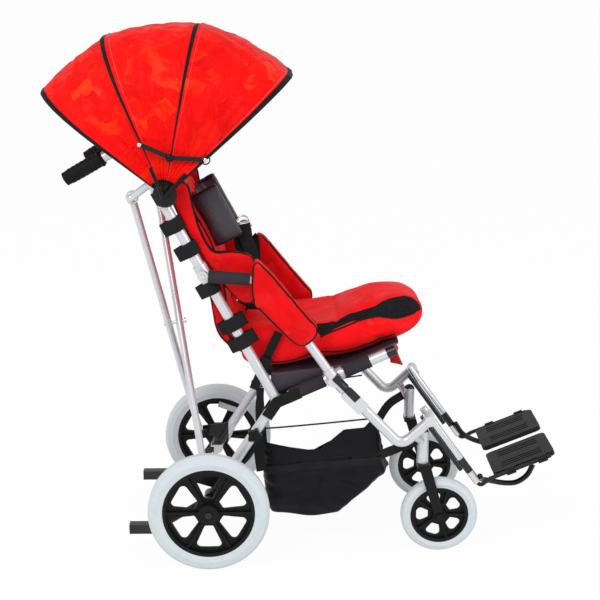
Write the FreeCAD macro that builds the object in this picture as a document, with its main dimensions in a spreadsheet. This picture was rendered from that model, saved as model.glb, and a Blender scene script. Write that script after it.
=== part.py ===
import FreeCAD, Part
import math
import os
from FreeCAD import Placement, Rotation, Vector

# Special needs stroller: folding tube frame, spoked wheels, padded seat, hood and foot plates.
# X points forwards, Y to the child's left, Z up. Lengths are millimetres and angles are degrees.

doc = FreeCAD.newDocument("stroller")
sheet = doc.addObject("Spreadsheet::Sheet", "sizes")

driving_sizes = {
    "middle_to_rear_axle": 227.7,
    "slip": 0.05,
    "clearance": 0.4,
    "open_pivot_gap": 6.0,
    "overrun": 5.0,
    # wheels
    "rear_wheel_radius": 146.0,
    "rear_tyre_width": 36.0,
    "rear_tyre_depth": 35.0,
    "rear_track_half": 270.0,
    "front_wheel_radius": 95.0,
    "front_tyre_width": 30.0,
    "front_tyre_depth": 23.0,
    "front_track_half": 171.0,
    "wheelbase": 565.0,
    "rim_lip": 9.0,
    "rim_web": 8.0,
    "spoke_width": 17.0,
    "window_share": 0.86,
    "spoke_rib_depth": 7.0,
    "spoke_rib_width": 6.0,
    "rear_hub_radius": 24.0,
    "rear_hub_length": 46.0,
    "front_hub_radius": 17.0,
    "front_hub_length": 34.0,
    "axle_radius": 8.0,
    "front_axle_radius": 5.0,
    "hub_cap_depth": 7.0,
    # frame tubes
    "tube_radius": 12.5,
    "tube_wall": 1.8,
    "frame_half_width": 178.0,
    "link_offset": 32.0,
    "seat_pivot_forward": 164.0,
    "seat_pivot_height": 394.0,
    "pivot_pin_radius": 5.0,
    "pivot_setback": 32.0,
    "cheek_gap": 0.25,
    "cheek_thickness": 4.0,
    "rail_tilt": 23.9,
    "rail_length": 313.0,
    "leg_pivot_reach": 152.0,
    "cane_tilt": 28.4,
    "cane_length": 711.0,
    "cane_foot_radius": 15.0,
    "handle_drop": 29.5,
    "handle_length": 167.0,
    "handle_bend": 42.0,
    "grip_radius": 16.5,
    "grip_length": 100.0,
    "arm_reach": 361.0,
    "arm_drop": 4.4,
    "arm_length": 142.0,
    "arm_tube_radius": 8.0,
    "arm_foam_radius": 15.0,
    "leg_slope": 46.0,
    "leg_length": 233.0,
    "toe_length": 94.0,
    "toe_bend": 26.0,
    "clamp_radius": 16.5,
    "clamp_length": 44.0,
    "plate_length": 82.0,
    "plate_width": 34.0,
    # casters
    "caster_trail": 44.0,
    "caster_tube_radius": 14.0,
    "caster_tube_top": 312.0,
    "caster_tube_bottom": 231.0,
    "caster_stem_radius": 6.0,
    "caster_cap_rise": 9.0,
    "fork_plate": 5.0,
    "fork_width": 24.0,
    "fork_gap": 3.0,
    "crown_thickness": 9.0,
    # rear cross brace
    "brace_half_width": 150.0,
    "brace_foot_back": 28.0,
    "brace_foot_height": 195.0,
    "brace_head_back": 160.0,
    "brace_head_height": 892.0,
    "brace_tube_radius": 9.0,
    "brace_spread": 14.0,
    "brace_bracket_reach": 606.0,
    "brace_neck": 15.0,
    "brace_slot": 5.0,
    "brace_pin_radius": 4.0,
    "brace_bolt_radius": 4.0,
    "fork_block": 20.0,
    # hood
    "hood_hub_back": 92.0,
    "hood_hub_height": 901.0,
    "hood_half_width": 200.0,
    "hood_width_step": 9.5,
    "hood_corner_radius": 165.0,
    "hood_bow_radius": 4.0,
    "hood_eye_radius": 11.0,
    "hood_pin_radius": 4.0,
    "hood_cloth": 2.0,
    "hood_dip": 9.0,
    "rear_bow_reach": 366.0,
    "second_bow_reach": 371.0,
    "third_bow_reach": 374.0,
    "front_bow_reach": 382.0,
    "rear_bow_angle": 142.6,
    "second_bow_angle": 113.0,
    "third_bow_angle": 78.7,
    "front_bow_angle": 41.8,
    "stud_reach_back": 132.0,
    "stud_reach_front": 130.0,
    "stud_radius": 2.5,
    "brace_link_back": 74.0,
    "brace_link_front": 81.0,
    "brace_link_width": 11.0,
    "brace_link_thickness": 3.0,
    # foot rests
    "hanger_half_width": 171.0,
    "hanger_slope": 54.4,
    "hanger_length": 215.0,
    "hanger_above": 22.0,
    "hanger_radius": 9.5,
    "slider_radius": 7.0,
    "slider_out": 14.0,
    "channel_width": 14.0,
    "channel_depth": 10.0,
    "channel_share": 0.72,
    "foot_plate_slope": 22.0,
    "foot_plate_length": 160.0,
    "foot_plate_width": 136.0,
    "foot_plate_thickness": 12.0,
    "foot_plate_inner_gap": 46.0,
    "foot_plate_forward": 776.0,
    "foot_plate_height": 219.0,
    "foot_pivot_radius": 5.0,
    "foot_arm_bend": 9.0,
    "groove_width": 5.0,
    "groove_depth": 2.0,
    # levers and knob
    "tip_reach": 201.0,
    "tip_height": 66.0,
    "tip_pad_length": 84.0,
    "tip_pad_side": 24.0,
    "knob_radius": 17.0,
    "knob_length": 16.0,
    "knob_share_along_leg": 0.33,
    "lever_length": 60.0,
    "lever_width": 14.0,
    "lever_thickness": 4.0,
    # upholstery
    "cushion_half_width": 152.6,
    "cushion_front": 532.0,
    "cushion_back": 148.0,
    "cushion_nose_rise": 128.0,
    "cushion_back_rise": 76.0,
    "cushion_depth": 98.0,
    "cushion_rise": 44.0,
    "sling_half_width": 160.9,
    "sling_thickness": 5.0,
    "back_half_width": 161.2,
    "back_thickness": 40.0,
    "back_offset": 10.0,
    "back_foot_reach": 120.0,
    "back_top_reach": 598.0,
    "back_hip_reach": 205.0,
    "back_hip_offset": 62.0,
    "back_side_panel": 12.0,
    "back_side_reach": 332.0,
    "back_side_depth": 117.0,
    "head_pad_reach": 386.0,
    "head_pad_length": 140.0,
    "head_pad_offset": 56.0,
    "head_pad_thickness": 22.0,
    "head_pad_depth": 48.0,
    "head_wing_thickness": 34.0,
    "head_half_width": 122.0,
    "guard_width": 92.0,
    "guard_thickness": 46.0,
    "guard_low_reach": 92.0,
    "guard_top_over": 38.0,
    "guard_clevis_reach": 52.0,
    "strap_width": 20.0,
    "hood_lever_length": 76.0,
    "hood_lever_radius": 4.5,
    # basket
    "basket_half_width": 140.0,
    "basket_wall": 3.0,
    "basket_floor": 84.0,
    "basket_back": 128.0,
    "basket_front": 432.0,
    "basket_rim_height": 262.0,
    "basket_front_height": 322.0,
}

row = 0
for alias, number in driving_sizes.items():
    row += 1
    sheet.set(f"A{row}", alias)
    sheet.set(f"B{row}", str(number))
    sheet.setAlias(f"B{row}", alias)
doc.recompute()

exported = []
sides = {"right": -1.0, "left": 1.0}


def size(name):
    return float(getattr(sheet, name))


def spot(forward, across, up):
    return Vector(forward - size("middle_to_rear_axle"), across, up)


def slope(angle):
    # unit vector in the XZ plane, at an angle above the forward direction
    return Vector(math.cos(math.radians(angle)), 0, math.sin(math.radians(angle)))


def across(distance):
    return Vector(0, distance, 0)


def turned(direction, base):
    # placement that stands a shape's own Z axis along a direction
    return Placement(base, Rotation(Vector(0, 0, 1), direction))


def keep(name, item):
    item.Label = name
    exported.append(item)
    return item


def shaped(name, shape):
    item = doc.addObject("Part::Feature", name)
    item.Shape = shape
    return item


def cylinder(name, radius, start, end):
    # round bar between two points, its radius an expression of the sheet
    item = doc.addObject("Part::Cylinder", name)
    item.setExpression("Radius", radius)
    item.Height = (end - start).Length
    item.Placement = turned(end - start, start)
    return item


def block(name, length, width, height, base, direction=Vector(0, 0, 1)):
    # box whose own Z axis lies along a direction, centred across it
    item = doc.addObject("Part::Box", name)
    item.Length = length
    item.Width = width
    item.Height = height
    frame = turned(direction, base)
    item.Placement = frame.multiply(Placement(Vector(-length / 2, -width / 2, 0), Rotation()))
    return item


def joined(name, *items):
    item = doc.addObject("Part::MultiFuse", name)
    item.Shapes = list(items)
    return item


def carved(name, body, *tools):
    item = doc.addObject("Part::Cut", name)
    item.Base = body
    item.Tool = tools[0] if len(tools) == 1 else joined(name + "_tools", *tools)
    return item


def eye(name, radius, bore, centre, axis, thickness):
    half = Vector(axis).normalize() * (thickness / 2)
    more = half * 2
    ring = cylinder(name + "_ring", radius, centre - half, centre + half)
    hole = cylinder(name + "_hole", bore, centre - more, centre + more)
    return ring, hole


def bent_path(points, radius):
    # straight runs joined by tangent arcs
    edges = []
    start = points[0]
    for before, corner, after in zip(points, points[1:], points[2:]):
        back = (before - corner).normalize()
        ahead = (after - corner).normalize()
        turn = math.pi - back.getAngle(ahead)
        reach = radius * math.tan(turn / 2)
        middle = (back + ahead).normalize() * (radius / math.cos(turn / 2) - radius)
        arc = Part.Arc(corner + back * reach, corner + middle, corner + ahead * reach)
        edges.append(Part.LineSegment(start, corner + back * reach).toShape())
        edges.append(arc.toShape())
        start = corner + ahead * reach
    edges.append(Part.LineSegment(start, points[-1]).toShape())
    return Part.Wire(edges)


def swept(path, radius):
    first = path.Edges[0]
    tangent = first.tangentAt(first.FirstParameter)
    ring = Part.Wire([Part.makeCircle(radius, first.Vertexes[0].Point, tangent)])
    return path.makePipeShell([ring], True, False)


def prism(outline, side_from, side_to):
    # outline of (forward, up) points, filled and thickened across from one side to the other
    corners = [spot(x, side_from, z) for x, z in outline]
    face = Part.Face(Part.makePolygon(corners + corners[:1]))
    return face.extrude(across(side_to - side_from))


def bar_shape(start, end, width, from_y, thickness):
    # flat bar in a side plane, from one y, its thickness signed
    wide = (end - start).normalize().cross(Vector(0, 1, 0)) * (width / 2)
    corners = [p + across(from_y) for p in (start + wide, end + wide, end - wide, start - wide)]
    return Part.Face(Part.makePolygon(corners + corners[:1])).extrude(across(thickness))


def smooth_section(points):
    for _ in range(2):
        pairs = zip(points, points[1:] + points[:1])
        points = [p for a, b in pairs for p in (a * 0.75 + b * 0.25, a * 0.25 + b * 0.75)]
    curve = Part.BSplineCurve()
    curve.interpolate(points, PeriodicFlag=True)
    return Part.Wire([curve.toShape()])


# Places that the frame is hung on

axle_height = size("rear_wheel_radius")
frame_half = size("frame_half_width")
link_half = frame_half + size("link_offset")
seat_pivot = spot(size("seat_pivot_forward"), 0, size("seat_pivot_height"))
rail_way = slope(size("rail_tilt"))
cane_way = slope(90 + size("cane_tilt"))
leg_way = slope(-size("leg_slope"))
toe_way = slope(90 - size("leg_slope"))
arm_way = slope(-size("arm_drop"))
handle_way = slope(180 + size("handle_drop"))
leg_pivot = seat_pivot + rail_way * size("leg_pivot_reach")
arm_pivot = seat_pivot + cane_way * size("arm_reach")
arm_front = arm_pivot + arm_way * size("arm_length")
link_way = (arm_front - leg_pivot).normalize()
elbow = leg_pivot + leg_way * size("leg_length")
toe_end = elbow + toe_way * size("toe_length")
cane_top = seat_pivot + cane_way * size("cane_length")
grip_end = cane_top + handle_way * size("handle_length")
rear_axle = spot(0, 0, axle_height)
rear_leg_way = (rear_axle - seat_pivot).normalize()
rear_leg_length = (rear_axle - seat_pivot).Length
front_axle = spot(size("wheelbase"), 0, size("front_wheel_radius"))
caster_forward = size("wheelbase") - size("caster_trail")
hood_hub = spot(-size("hood_hub_back"), 0, size("hood_hub_height"))
brace_foot = spot(-size("brace_foot_back"), 0, size("brace_foot_height"))
brace_head = spot(-size("brace_head_back"), 0, size("brace_head_height"))
brace_up = (brace_head - brace_foot).normalize()
brace_normal = Vector(brace_up.z, 0, -brace_up.x)


# Wheels

def wheel(kind, tag, centre, radius, width, depth, hub, hub_length, axle, spokes):
    side = sides[tag]
    sunk = radius - depth
    bead = width / 2
    shoulder = depth * 0.42
    tyre_profile = [
        Vector(sunk, 0, -bead * 0.8),
        Vector(sunk, 0, bead * 0.8),
        Vector(sunk + shoulder, 0, bead),
        Vector(radius - shoulder * 0.5, 0, bead * 0.86),
        Vector(radius, 0, bead * 0.42),
        Vector(radius, 0, -bead * 0.42),
        Vector(radius - shoulder * 0.5, 0, -bead * 0.86),
        Vector(sunk + shoulder, 0, -bead),
    ]
    frame = turned(Vector(0, side, 0), centre)
    face = Part.Face(Part.makePolygon(tyre_profile + tyre_profile[:1]))
    tyre = shaped(f"{kind}_tyre_{tag}_shape", face.revolve(Vector(), Vector(0, 0, 1), 360))
    tyre.Placement = frame
    keep(f"{kind}_tyre_{tag}", tyre)

    web = size("rim_web") / 2
    inner = sunk - size("rim_lip")
    half = hub_length / 2
    rim_profile = [
        Vector(axle, 0, -half),
        Vector(hub, 0, -half),
        Vector(hub, 0, -web),
        Vector(inner, 0, -web),
        Vector(inner, 0, -bead * 0.8),
        Vector(sunk, 0, -bead * 0.8),
        Vector(sunk, 0, bead * 0.8),
        Vector(inner, 0, bead * 0.8),
        Vector(inner, 0, web),
        Vector(hub, 0, web),
        Vector(hub, 0, half),
        Vector(axle, 0, half),
    ]
    face = Part.Face(Part.makePolygon(rim_profile + rim_profile[:1]))
    disc = face.revolve(Vector(), Vector(0, 0, 1), 360)
    gap = size("spoke_width")
    near = hub + gap * 0.6
    far = hub + (inner - hub) * size("window_share")
    spread = math.pi / spokes
    window = [
        Vector(near, -(near * math.tan(spread) - gap / 2 / math.cos(spread)), -width),
        Vector(far * 0.99, -(far * math.sin(spread) - gap * 0.62), -width),
        Vector(far, 0, -width),
        Vector(far * 0.99, far * math.sin(spread) - gap * 0.62, -width),
        Vector(near, near * math.tan(spread) - gap / 2 / math.cos(spread), -width),
    ]
    opening = Part.Wire([
        Part.LineSegment(window[0], window[1]).toShape(),
        Part.Arc(window[1], window[2], window[3]).toShape(),
        Part.LineSegment(window[3], window[4]).toShape(),
        Part.LineSegment(window[4], window[0]).toShape(),
    ])
    hole = Part.Face(opening).extrude(Vector(0, 0, 2 * width))
    upright = [e for e in hole.Edges if abs(e.tangentAt(e.FirstParameter).z) > 0.9]
    middle = (near + far) / 2
    hole = hole.makeFillet(gap * 0.25, [e for e in upright if e.CenterOfMass.x < middle])
    upright = [e for e in hole.Edges if abs(e.tangentAt(e.FirstParameter).z) > 0.9]
    outer_corners = [e for e in upright if e.CenterOfMass.x > middle]
    hole = hole.makeFillet(gap * 0.6, outer_corners)
    rib = Part.makeBox(
        inner - hub + gap * 0.2,
        size("spoke_rib_width"),
        size("rim_web") + 2 * size("spoke_rib_depth"),
        Vector(hub - gap * 0.1, -size("spoke_rib_width") / 2, -web - size("spoke_rib_depth")),
    )
    for step in range(spokes):
        cutter = hole.copy()
        cutter.rotate(Vector(), Vector(0, 0, 1), 360 * (step + 0.5) / spokes)
        disc = disc.cut(cutter)
    for step in range(spokes):
        stiffener = rib.copy()
        stiffener.rotate(Vector(), Vector(0, 0, 1), 360 * step / spokes)
        disc = disc.fuse(stiffener)
    disc = disc.removeSplitter()
    rim = shaped(f"{kind}_rim_{tag}_shape", disc)
    rim.Placement = frame
    keep(f"{kind}_rim_{tag}", rim)


for tag, side in sides.items():
    wheel(
        "rear",
        tag,
        rear_axle + across(side * size("rear_track_half")),
        size("rear_wheel_radius"),
        size("rear_tyre_width"),
        size("rear_tyre_depth"),
        size("rear_hub_radius"),
        size("rear_hub_length"),
        size("axle_radius") + size("slip"),
        6,
    )
    wheel(
        "front",
        tag,
        front_axle + across(side * size("front_track_half")),
        size("front_wheel_radius"),
        size("front_tyre_width"),
        size("front_tyre_depth"),
        size("front_hub_radius"),
        size("front_hub_length"),
        size("front_axle_radius") + size("slip"),
        5,
    )


# Side frames

def rear_leg(tag, side):
    plane = across(side * frame_half)
    start = seat_pivot + plane + rear_leg_way * size("pivot_setback")
    foot = rear_axle + plane
    shaft = cylinder(f"leg_shaft_{tag}", "sizes.tube_radius", start, foot)
    socket_in = foot - across(side * size("clamp_radius"))
    socket_out = foot + across(side * (size("clamp_radius") + size("clearance")))
    socket = cylinder(f"leg_socket_{tag}", "sizes.clamp_radius", socket_in, socket_out)
    spindle_end = rear_axle + across(
        side * (size("rear_track_half") + size("rear_hub_length") / 2 + size("hub_cap_depth") / 2)
    )
    spindle = cylinder(f"leg_spindle_{tag}", "sizes.axle_radius", foot, spindle_end)
    washer_end = rear_axle + across(
        side * (size("rear_track_half") - size("rear_hub_length") / 2 - size("clearance"))
    )
    washer = cylinder(f"leg_washer_{tag}", "sizes.axle_radius * 1.6", foot, washer_end)
    lug_side = side * (frame_half - size("tube_radius") * 0.5)
    lug = shaped(
        f"leg_lug_{tag}",
        prism(
            [
                (
                    -size("brace_foot_back") - size("fork_block") / 2,
                    size("brace_foot_height") - size("fork_block") / 2,
                ),
                (size("seat_pivot_forward") * 0.2, axle_height + size("clamp_radius")),
                (size("seat_pivot_forward") * 0.36, axle_height + size("clamp_radius") * 4.4),
                (
                    -size("brace_foot_back") - size("fork_block") / 2,
                    size("brace_foot_height") + size("fork_block") / 2,
                ),
            ],
            lug_side,
            lug_side + side * size("cheek_thickness") * 2,
        ),
    )
    pin = cylinder(
        f"leg_brace_pin_{tag}",
        "sizes.brace_pin_radius",
        brace_foot + across(lug_side + side * size("cheek_thickness")),
        brace_foot + across(side * (size("brace_half_width") + size("clearance"))),
    )
    tip_end = spot(-size("tip_reach"), side * frame_half, size("tip_height"))
    tip_bend = tip_end + Vector(size("tip_pad_length") * 0.85, 0, 0)
    tip_bar = cylinder(f"tip_bar_{tag}", "sizes.brace_tube_radius * 0.9", tip_bend, foot)
    pad_side = size("tip_pad_side")
    tip_pad = block(
        f"tip_pad_{tag}", pad_side, pad_side, size("tip_pad_length"), tip_end, Vector(1, 0, 0)
    )
    outer = joined(f"leg_outer_{tag}", shaft, socket, spindle, washer, lug, pin, tip_bar, tip_pad)
    bore = cylinder(
        f"leg_bore_{tag}",
        "sizes.tube_radius - sizes.tube_wall",
        start - rear_leg_way * size("overrun"),
        foot - rear_leg_way * size("clamp_radius"),
    )
    keep(f"rear_leg_{tag}", carved(f"rear_leg_{tag}", outer, bore))


def pivot_bracket(tag, side):
    # two cheeks that hold the rail and the rear leg, and carry the cane's pin
    reach = size("pivot_setback") * 1.9
    leg_reach = size("pivot_setback") * 1.4
    half = size("tube_radius") + size("cheek_gap")
    wide = size("tube_radius") * 1.1
    rail_side = rail_way.cross(Vector(0, 1, 0))
    leg_side = rear_leg_way.cross(Vector(0, 1, 0))
    corners = [
        seat_pivot + rail_way * reach + rail_side * wide,
        seat_pivot + rail_way * reach - rail_side * wide,
        seat_pivot + (leg_side - rail_side) * (wide * 0.54),
        seat_pivot + rear_leg_way * leg_reach + leg_side * wide,
        seat_pivot + rear_leg_way * leg_reach - leg_side * wide,
        seat_pivot - leg_side * wide,
        seat_pivot + rail_side * wide,
    ]
    cheeks = []
    for way in (-1, 1):
        inner = side * frame_half + way * half
        shift = across(inner)
        face = Part.Face(Part.makePolygon([c + shift for c in corners + corners[:1]]))
        cheek = face.extrude(across(way * size("cheek_thickness")))
        cheeks.append(shaped(f"cheek_{tag}_{'in' if way < 0 else 'out'}", cheek))
    reach_out = half + size("cheek_thickness") * 1.5
    pin = cylinder(
        f"pivot_pin_{tag}",
        "sizes.pivot_pin_radius",
        seat_pivot + across(side * frame_half - reach_out),
        seat_pivot + across(side * frame_half + reach_out),
    )
    keep(f"pivot_bracket_{tag}", joined(f"pivot_bracket_{tag}", *cheeks, pin))


for tag, side in sides.items():
    rear_leg(tag, side)
    pivot_bracket(tag, side)
    plane = across(side * frame_half)
    # collar on the rail with the pin that the front leg turns on
    half = rail_way * (size("clamp_length") / 2)
    rail_start = seat_pivot + plane + rail_way * size("pivot_setback")
    rail_end = seat_pivot + plane + rail_way * size("rail_length")
    rail = cylinder(f"rail_tube_{tag}", "sizes.tube_radius", rail_start, rail_end)
    collar = cylinder(
        f"rail_collar_{tag}", "sizes.clamp_radius", leg_pivot + plane - half, leg_pivot + plane + half
    )
    pin = cylinder(
        f"leg_pin_{tag}",
        "sizes.pivot_pin_radius",
        leg_pivot + across(side * (frame_half + size("tube_radius"))),
        leg_pivot + across(side * (link_half + size("clamp_radius"))),
    )
    bore = cylinder(
        f"rail_bore_{tag}",
        "sizes.tube_radius - sizes.tube_wall",
        rail_start - rail_way * size("overrun"),
        rail_end + rail_way * size("overrun"),
    )
    keep(
        f"seat_rail_{tag}",
        carved(f"seat_rail_{tag}", joined(f"rail_outer_{tag}", rail, collar, pin), bore),
    )


# Canes, grips and arm rests

for tag, side in sides.items():
    plane = across(side * frame_half)
    path = bent_path(
        [
            seat_pivot + plane + cane_way * size("cane_foot_radius") * 0.5,
            cane_top + plane,
            grip_end + plane,
        ],
        size("handle_bend"),
    )
    outer = swept(path, size("tube_radius"))
    inner = swept(path, size("tube_radius") - size("tube_wall"))
    foot_half = across(size("tube_radius"))
    foot = Part.makeCylinder(
        size("cane_foot_radius"),
        2 * size("tube_radius"),
        seat_pivot + plane - foot_half,
        Vector(0, 1, 0),
    )
    head_pin_from = brace_head + across(side * (frame_half - size("tube_radius") * 0.5))
    head_pin_to = brace_head + across(side * (size("brace_half_width") - size("fork_block") / 2))
    shift = brace_normal * (size("brace_spread") * side)
    head_pin = Part.makeCylinder(
        size("brace_pin_radius"),
        (head_pin_to - head_pin_from).Length,
        head_pin_from + shift,
        across(-side)
    )
    bracket_root = seat_pivot + plane + cane_way * size("brace_bracket_reach")
    bracket_tip = head_pin_from + shift
    bracket = Part.makeCylinder(
        size("brace_tube_radius"),
        (bracket_tip - bracket_root).Length,
        bracket_root,
        bracket_tip - bracket_root
    )
    knuckle = Part.makeSphere(size("brace_tube_radius") * 1.1, bracket_tip)
    collar_half = cane_way * (size("clamp_length") / 2)
    collar = Part.makeCylinder(
        size("clamp_radius"), size("clamp_length"), arm_pivot + plane - collar_half, cane_way
    )
    arm_pin = Part.makeCylinder(
        size("pivot_pin_radius"),
        size("link_offset") + size("tube_radius"),
        arm_pivot + plane,
        across(side)
    )
    solid = outer.fuse([foot, bracket, knuckle, head_pin, collar, arm_pin]).cut(inner)
    solid = solid.cut(
        Part.makeCylinder(
            size("pivot_pin_radius") + size("slip"),
            4 * size("tube_radius"),
            seat_pivot + plane - foot_half * 2,
            Vector(0, 1, 0),
        )
    )
    keep(f"cane_{tag}", shaped(f"cane_{tag}_shape", solid))

    start = grip_end + plane - handle_way * size("grip_length")
    over = handle_way * size("overrun")
    grip_body = cylinder(f"grip_body_{tag}", "sizes.grip_radius", start, grip_end + plane + over)
    grip_hole = cylinder(
        f"grip_hole_{tag}", "sizes.tube_radius + sizes.slip", start - over, grip_end + plane
    )
    keep(f"grip_{tag}", carved(f"grip_{tag}", grip_body, grip_hole))

    link_plane = across(side * link_half)
    bar_start = arm_pivot + link_plane
    bar_end = arm_front + link_plane - arm_way * (
        size("tube_radius") + size("open_pivot_gap") + size("clearance")
    )
    bar = cylinder(f"arm_rod_{tag}", "sizes.arm_tube_radius", bar_start, bar_end)
    eye_body, eye_hole = eye(
        f"arm_eye_{tag}",
        "sizes.tube_radius",
        "sizes.pivot_pin_radius + sizes.slip",
        bar_start,
        Vector(0, 1, 0),
        2 * size("arm_tube_radius"),
    )
    cheeks = []
    for way in (-1, 1):
        inner = side * link_half + way * size("open_pivot_gap") * 0.75
        begin = arm_front - arm_way * (2 * size("tube_radius") + size("open_pivot_gap"))
        end = arm_front + arm_way * size("arm_tube_radius")
        cheek = bar_shape(begin, end, 2 * size("arm_tube_radius"), inner, way * size("cheek_thickness"))
        cheeks.append(shaped(f"arm_cheek_{tag}_{'in' if way < 0 else 'out'}", cheek))
    front_pin_half = across(1.5 * size("cheek_thickness") + size("open_pivot_gap") * 0.75)
    front_pin = cylinder(
        f"arm_front_pin_{tag}",
        "sizes.brace_pin_radius",
        arm_front + link_plane - front_pin_half,
        arm_front + link_plane + front_pin_half,
    )
    arm_body = joined(f"arm_body_{tag}", bar, eye_body, *cheeks, front_pin)
    keep(f"arm_bar_{tag}", carved(f"arm_bar_{tag}_cut", arm_body, eye_hole))
    foam_from = bar_start + arm_way * (size("tube_radius") + size("clearance"))
    foam_to = bar_end - arm_way * (size("tube_radius") + size("clearance"))
    foam = cylinder(f"arm_foam_{tag}_body", "sizes.arm_foam_radius", foam_from, foam_to)
    foam_hole = cylinder(
        f"arm_foam_{tag}_hole",
        "sizes.arm_tube_radius + sizes.slip",
        foam_from - arm_way * size("overrun"),
        foam_to + arm_way * size("overrun"),
    )
    keep(f"arm_foam_{tag}", carved(f"arm_foam_{tag}", foam, foam_hole))


# Front legs with their arm links and hinge plates

for tag, side in sides.items():
    plane = across(side * link_half)
    pivot = leg_pivot + plane
    link_from = pivot + link_way * size("clamp_radius")
    link_to = arm_front + plane - link_way * size("tube_radius") * 1.9
    link_tube = cylinder(f"link_tube_{tag}", "sizes.tube_radius * 0.88", link_from, link_to)
    neck = bar_shape(
        arm_front - link_way * size("tube_radius") * 2.2,
        arm_front - link_way * size("tube_radius") * 0.9,
        size("tube_radius"),
        side * link_half - size("open_pivot_gap") / 2,
        size("open_pivot_gap"),
    )
    tongue_neck = shaped(f"link_neck_{tag}", neck)
    tongue, tongue_hole = eye(
        f"link_tongue_{tag}",
        "sizes.brace_pin_radius + sizes.open_pivot_gap + sizes.cheek_thickness",
        "sizes.brace_pin_radius + sizes.open_pivot_gap",
        arm_front + plane,
        Vector(0, 1, 0),
        size("open_pivot_gap"),
    )
    link_bore = cylinder(
        f"link_bore_{tag}",
        "sizes.tube_radius * 0.88 - sizes.tube_wall",
        link_from,
        link_to - link_way * size("tube_radius") * 0.5,
    )
    # cast tee around the pivot, with a socket each way
    tee_half = across(size("tube_radius"))
    tee_hub = cylinder(f"tee_hub_{tag}", "sizes.clamp_radius", pivot - tee_half, pivot + tee_half)
    tee_leg_end = pivot + leg_way * (size("clamp_radius") * 1.9)
    tee_link_end = pivot + link_way * (size("clamp_radius") * 1.9)
    tee_leg = cylinder(f"tee_leg_{tag}", "sizes.tube_radius + sizes.tube_wall", pivot, tee_leg_end)
    tee_link = cylinder(f"tee_link_{tag}", "sizes.tube_radius + sizes.tube_wall", pivot, tee_link_end)
    tee_bore = cylinder(
        f"tee_bore_{tag}",
        "sizes.pivot_pin_radius + sizes.slip",
        pivot - tee_half * 2,
        pivot + tee_half * 2
    )
    leg_socket = cylinder(
        f"tee_leg_socket_{tag}",
        "sizes.tube_radius + sizes.slip",
        pivot + leg_way * size("clamp_radius"),
        tee_leg_end + leg_way * size("overrun"),
    )
    tee = joined(f"tee_outer_{tag}", tee_hub, tee_leg, tee_link, link_tube, tongue_neck, tongue)
    keep(
        f"arm_link_{tag}", carved(f"arm_link_{tag}", tee, tee_bore, leg_socket, link_bore, tongue_hole)
    )

    leg_from = pivot + leg_way * size("clamp_radius")
    path = bent_path([leg_from, elbow + plane, toe_end + plane], size("toe_bend"))
    leg_tube = swept(path, size("tube_radius"))
    leg_bore = swept(
        bent_path(
            [leg_from, elbow + plane, toe_end + plane - toe_way * size("tube_radius")], size("toe_bend")
        ),
        size("tube_radius") - size("tube_wall"),
    )
    caster_axis = spot(caster_forward, side * size("front_track_half"), 0)
    tube_long = size("caster_tube_top") - size("caster_tube_bottom")
    housing_bottom = caster_axis + Vector(0, 0, size("caster_tube_bottom"))
    housing = Part.makeCylinder(size("caster_tube_radius"), tube_long, housing_bottom)
    dome = Part.makeSphere(
        size("caster_tube_radius") * 1.02,
        housing_bottom + Vector(0, 0, tube_long - size("caster_cap_rise") * 0.5)
    )
    lug_height = (size("caster_tube_top") * 2 + size("caster_tube_bottom")) / 3
    lug_end = caster_axis + Vector(0, 0, lug_height)
    lug_start = elbow + toe_way * (size("toe_length") * 0.42) + plane
    lug = Part.makeCylinder(
        size("tube_radius") * 0.8, (lug_end - lug_start).Length, lug_start, lug_end - lug_start
    )
    boss_half = size("tube_radius")
    boss = Part.makeCylinder(
        size("tube_radius") * 1.08, 2 * boss_half, toe_end + plane - across(boss_half), Vector(0, 1, 0)
    )
    pin_long = link_half - size("hanger_half_width") - size("hanger_radius") - 2 * size("clearance")
    hanger_pin = Part.makeCylinder(size("pivot_pin_radius"), pin_long, toe_end + plane, across(-side))
    stem_bore = Part.makeCylinder(
        size("caster_stem_radius") + size("slip"),
        tube_long,
        housing_bottom - Vector(0, 0, size("overrun"))
    )

    # flat plate bolted outside the tee and the leg
    wide = leg_way.cross(Vector(0, 1, 0)) * (size("plate_width") / 2)
    plate_from = leg_pivot + leg_way * (size("clamp_radius") * 2.1)
    plate_to = plate_from + leg_way * size("plate_length") * 0.8
    corners = [plate_from + wide, plate_to + wide, plate_to - wide, plate_from - wide]
    near_y = side * (link_half + size("tube_radius") * 0.94)
    face = Part.Face(Part.makePolygon([c + across(near_y) for c in corners + corners[:1]]))
    plate = face.extrude(across(side * size("cheek_thickness")))
    edges = [e for e in plate.Edges if abs(e.tangentAt(e.FirstParameter).y) > 0.9]
    plate = plate.makeFillet(size("cheek_thickness"), edges)
    leg = leg_tube.fuse([housing, dome, lug, boss, hanger_pin, plate]).cut([leg_bore, stem_bore])
    keep(f"front_leg_{tag}", shaped(f"front_leg_{tag}_shape", leg))


# Caster forks

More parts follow.
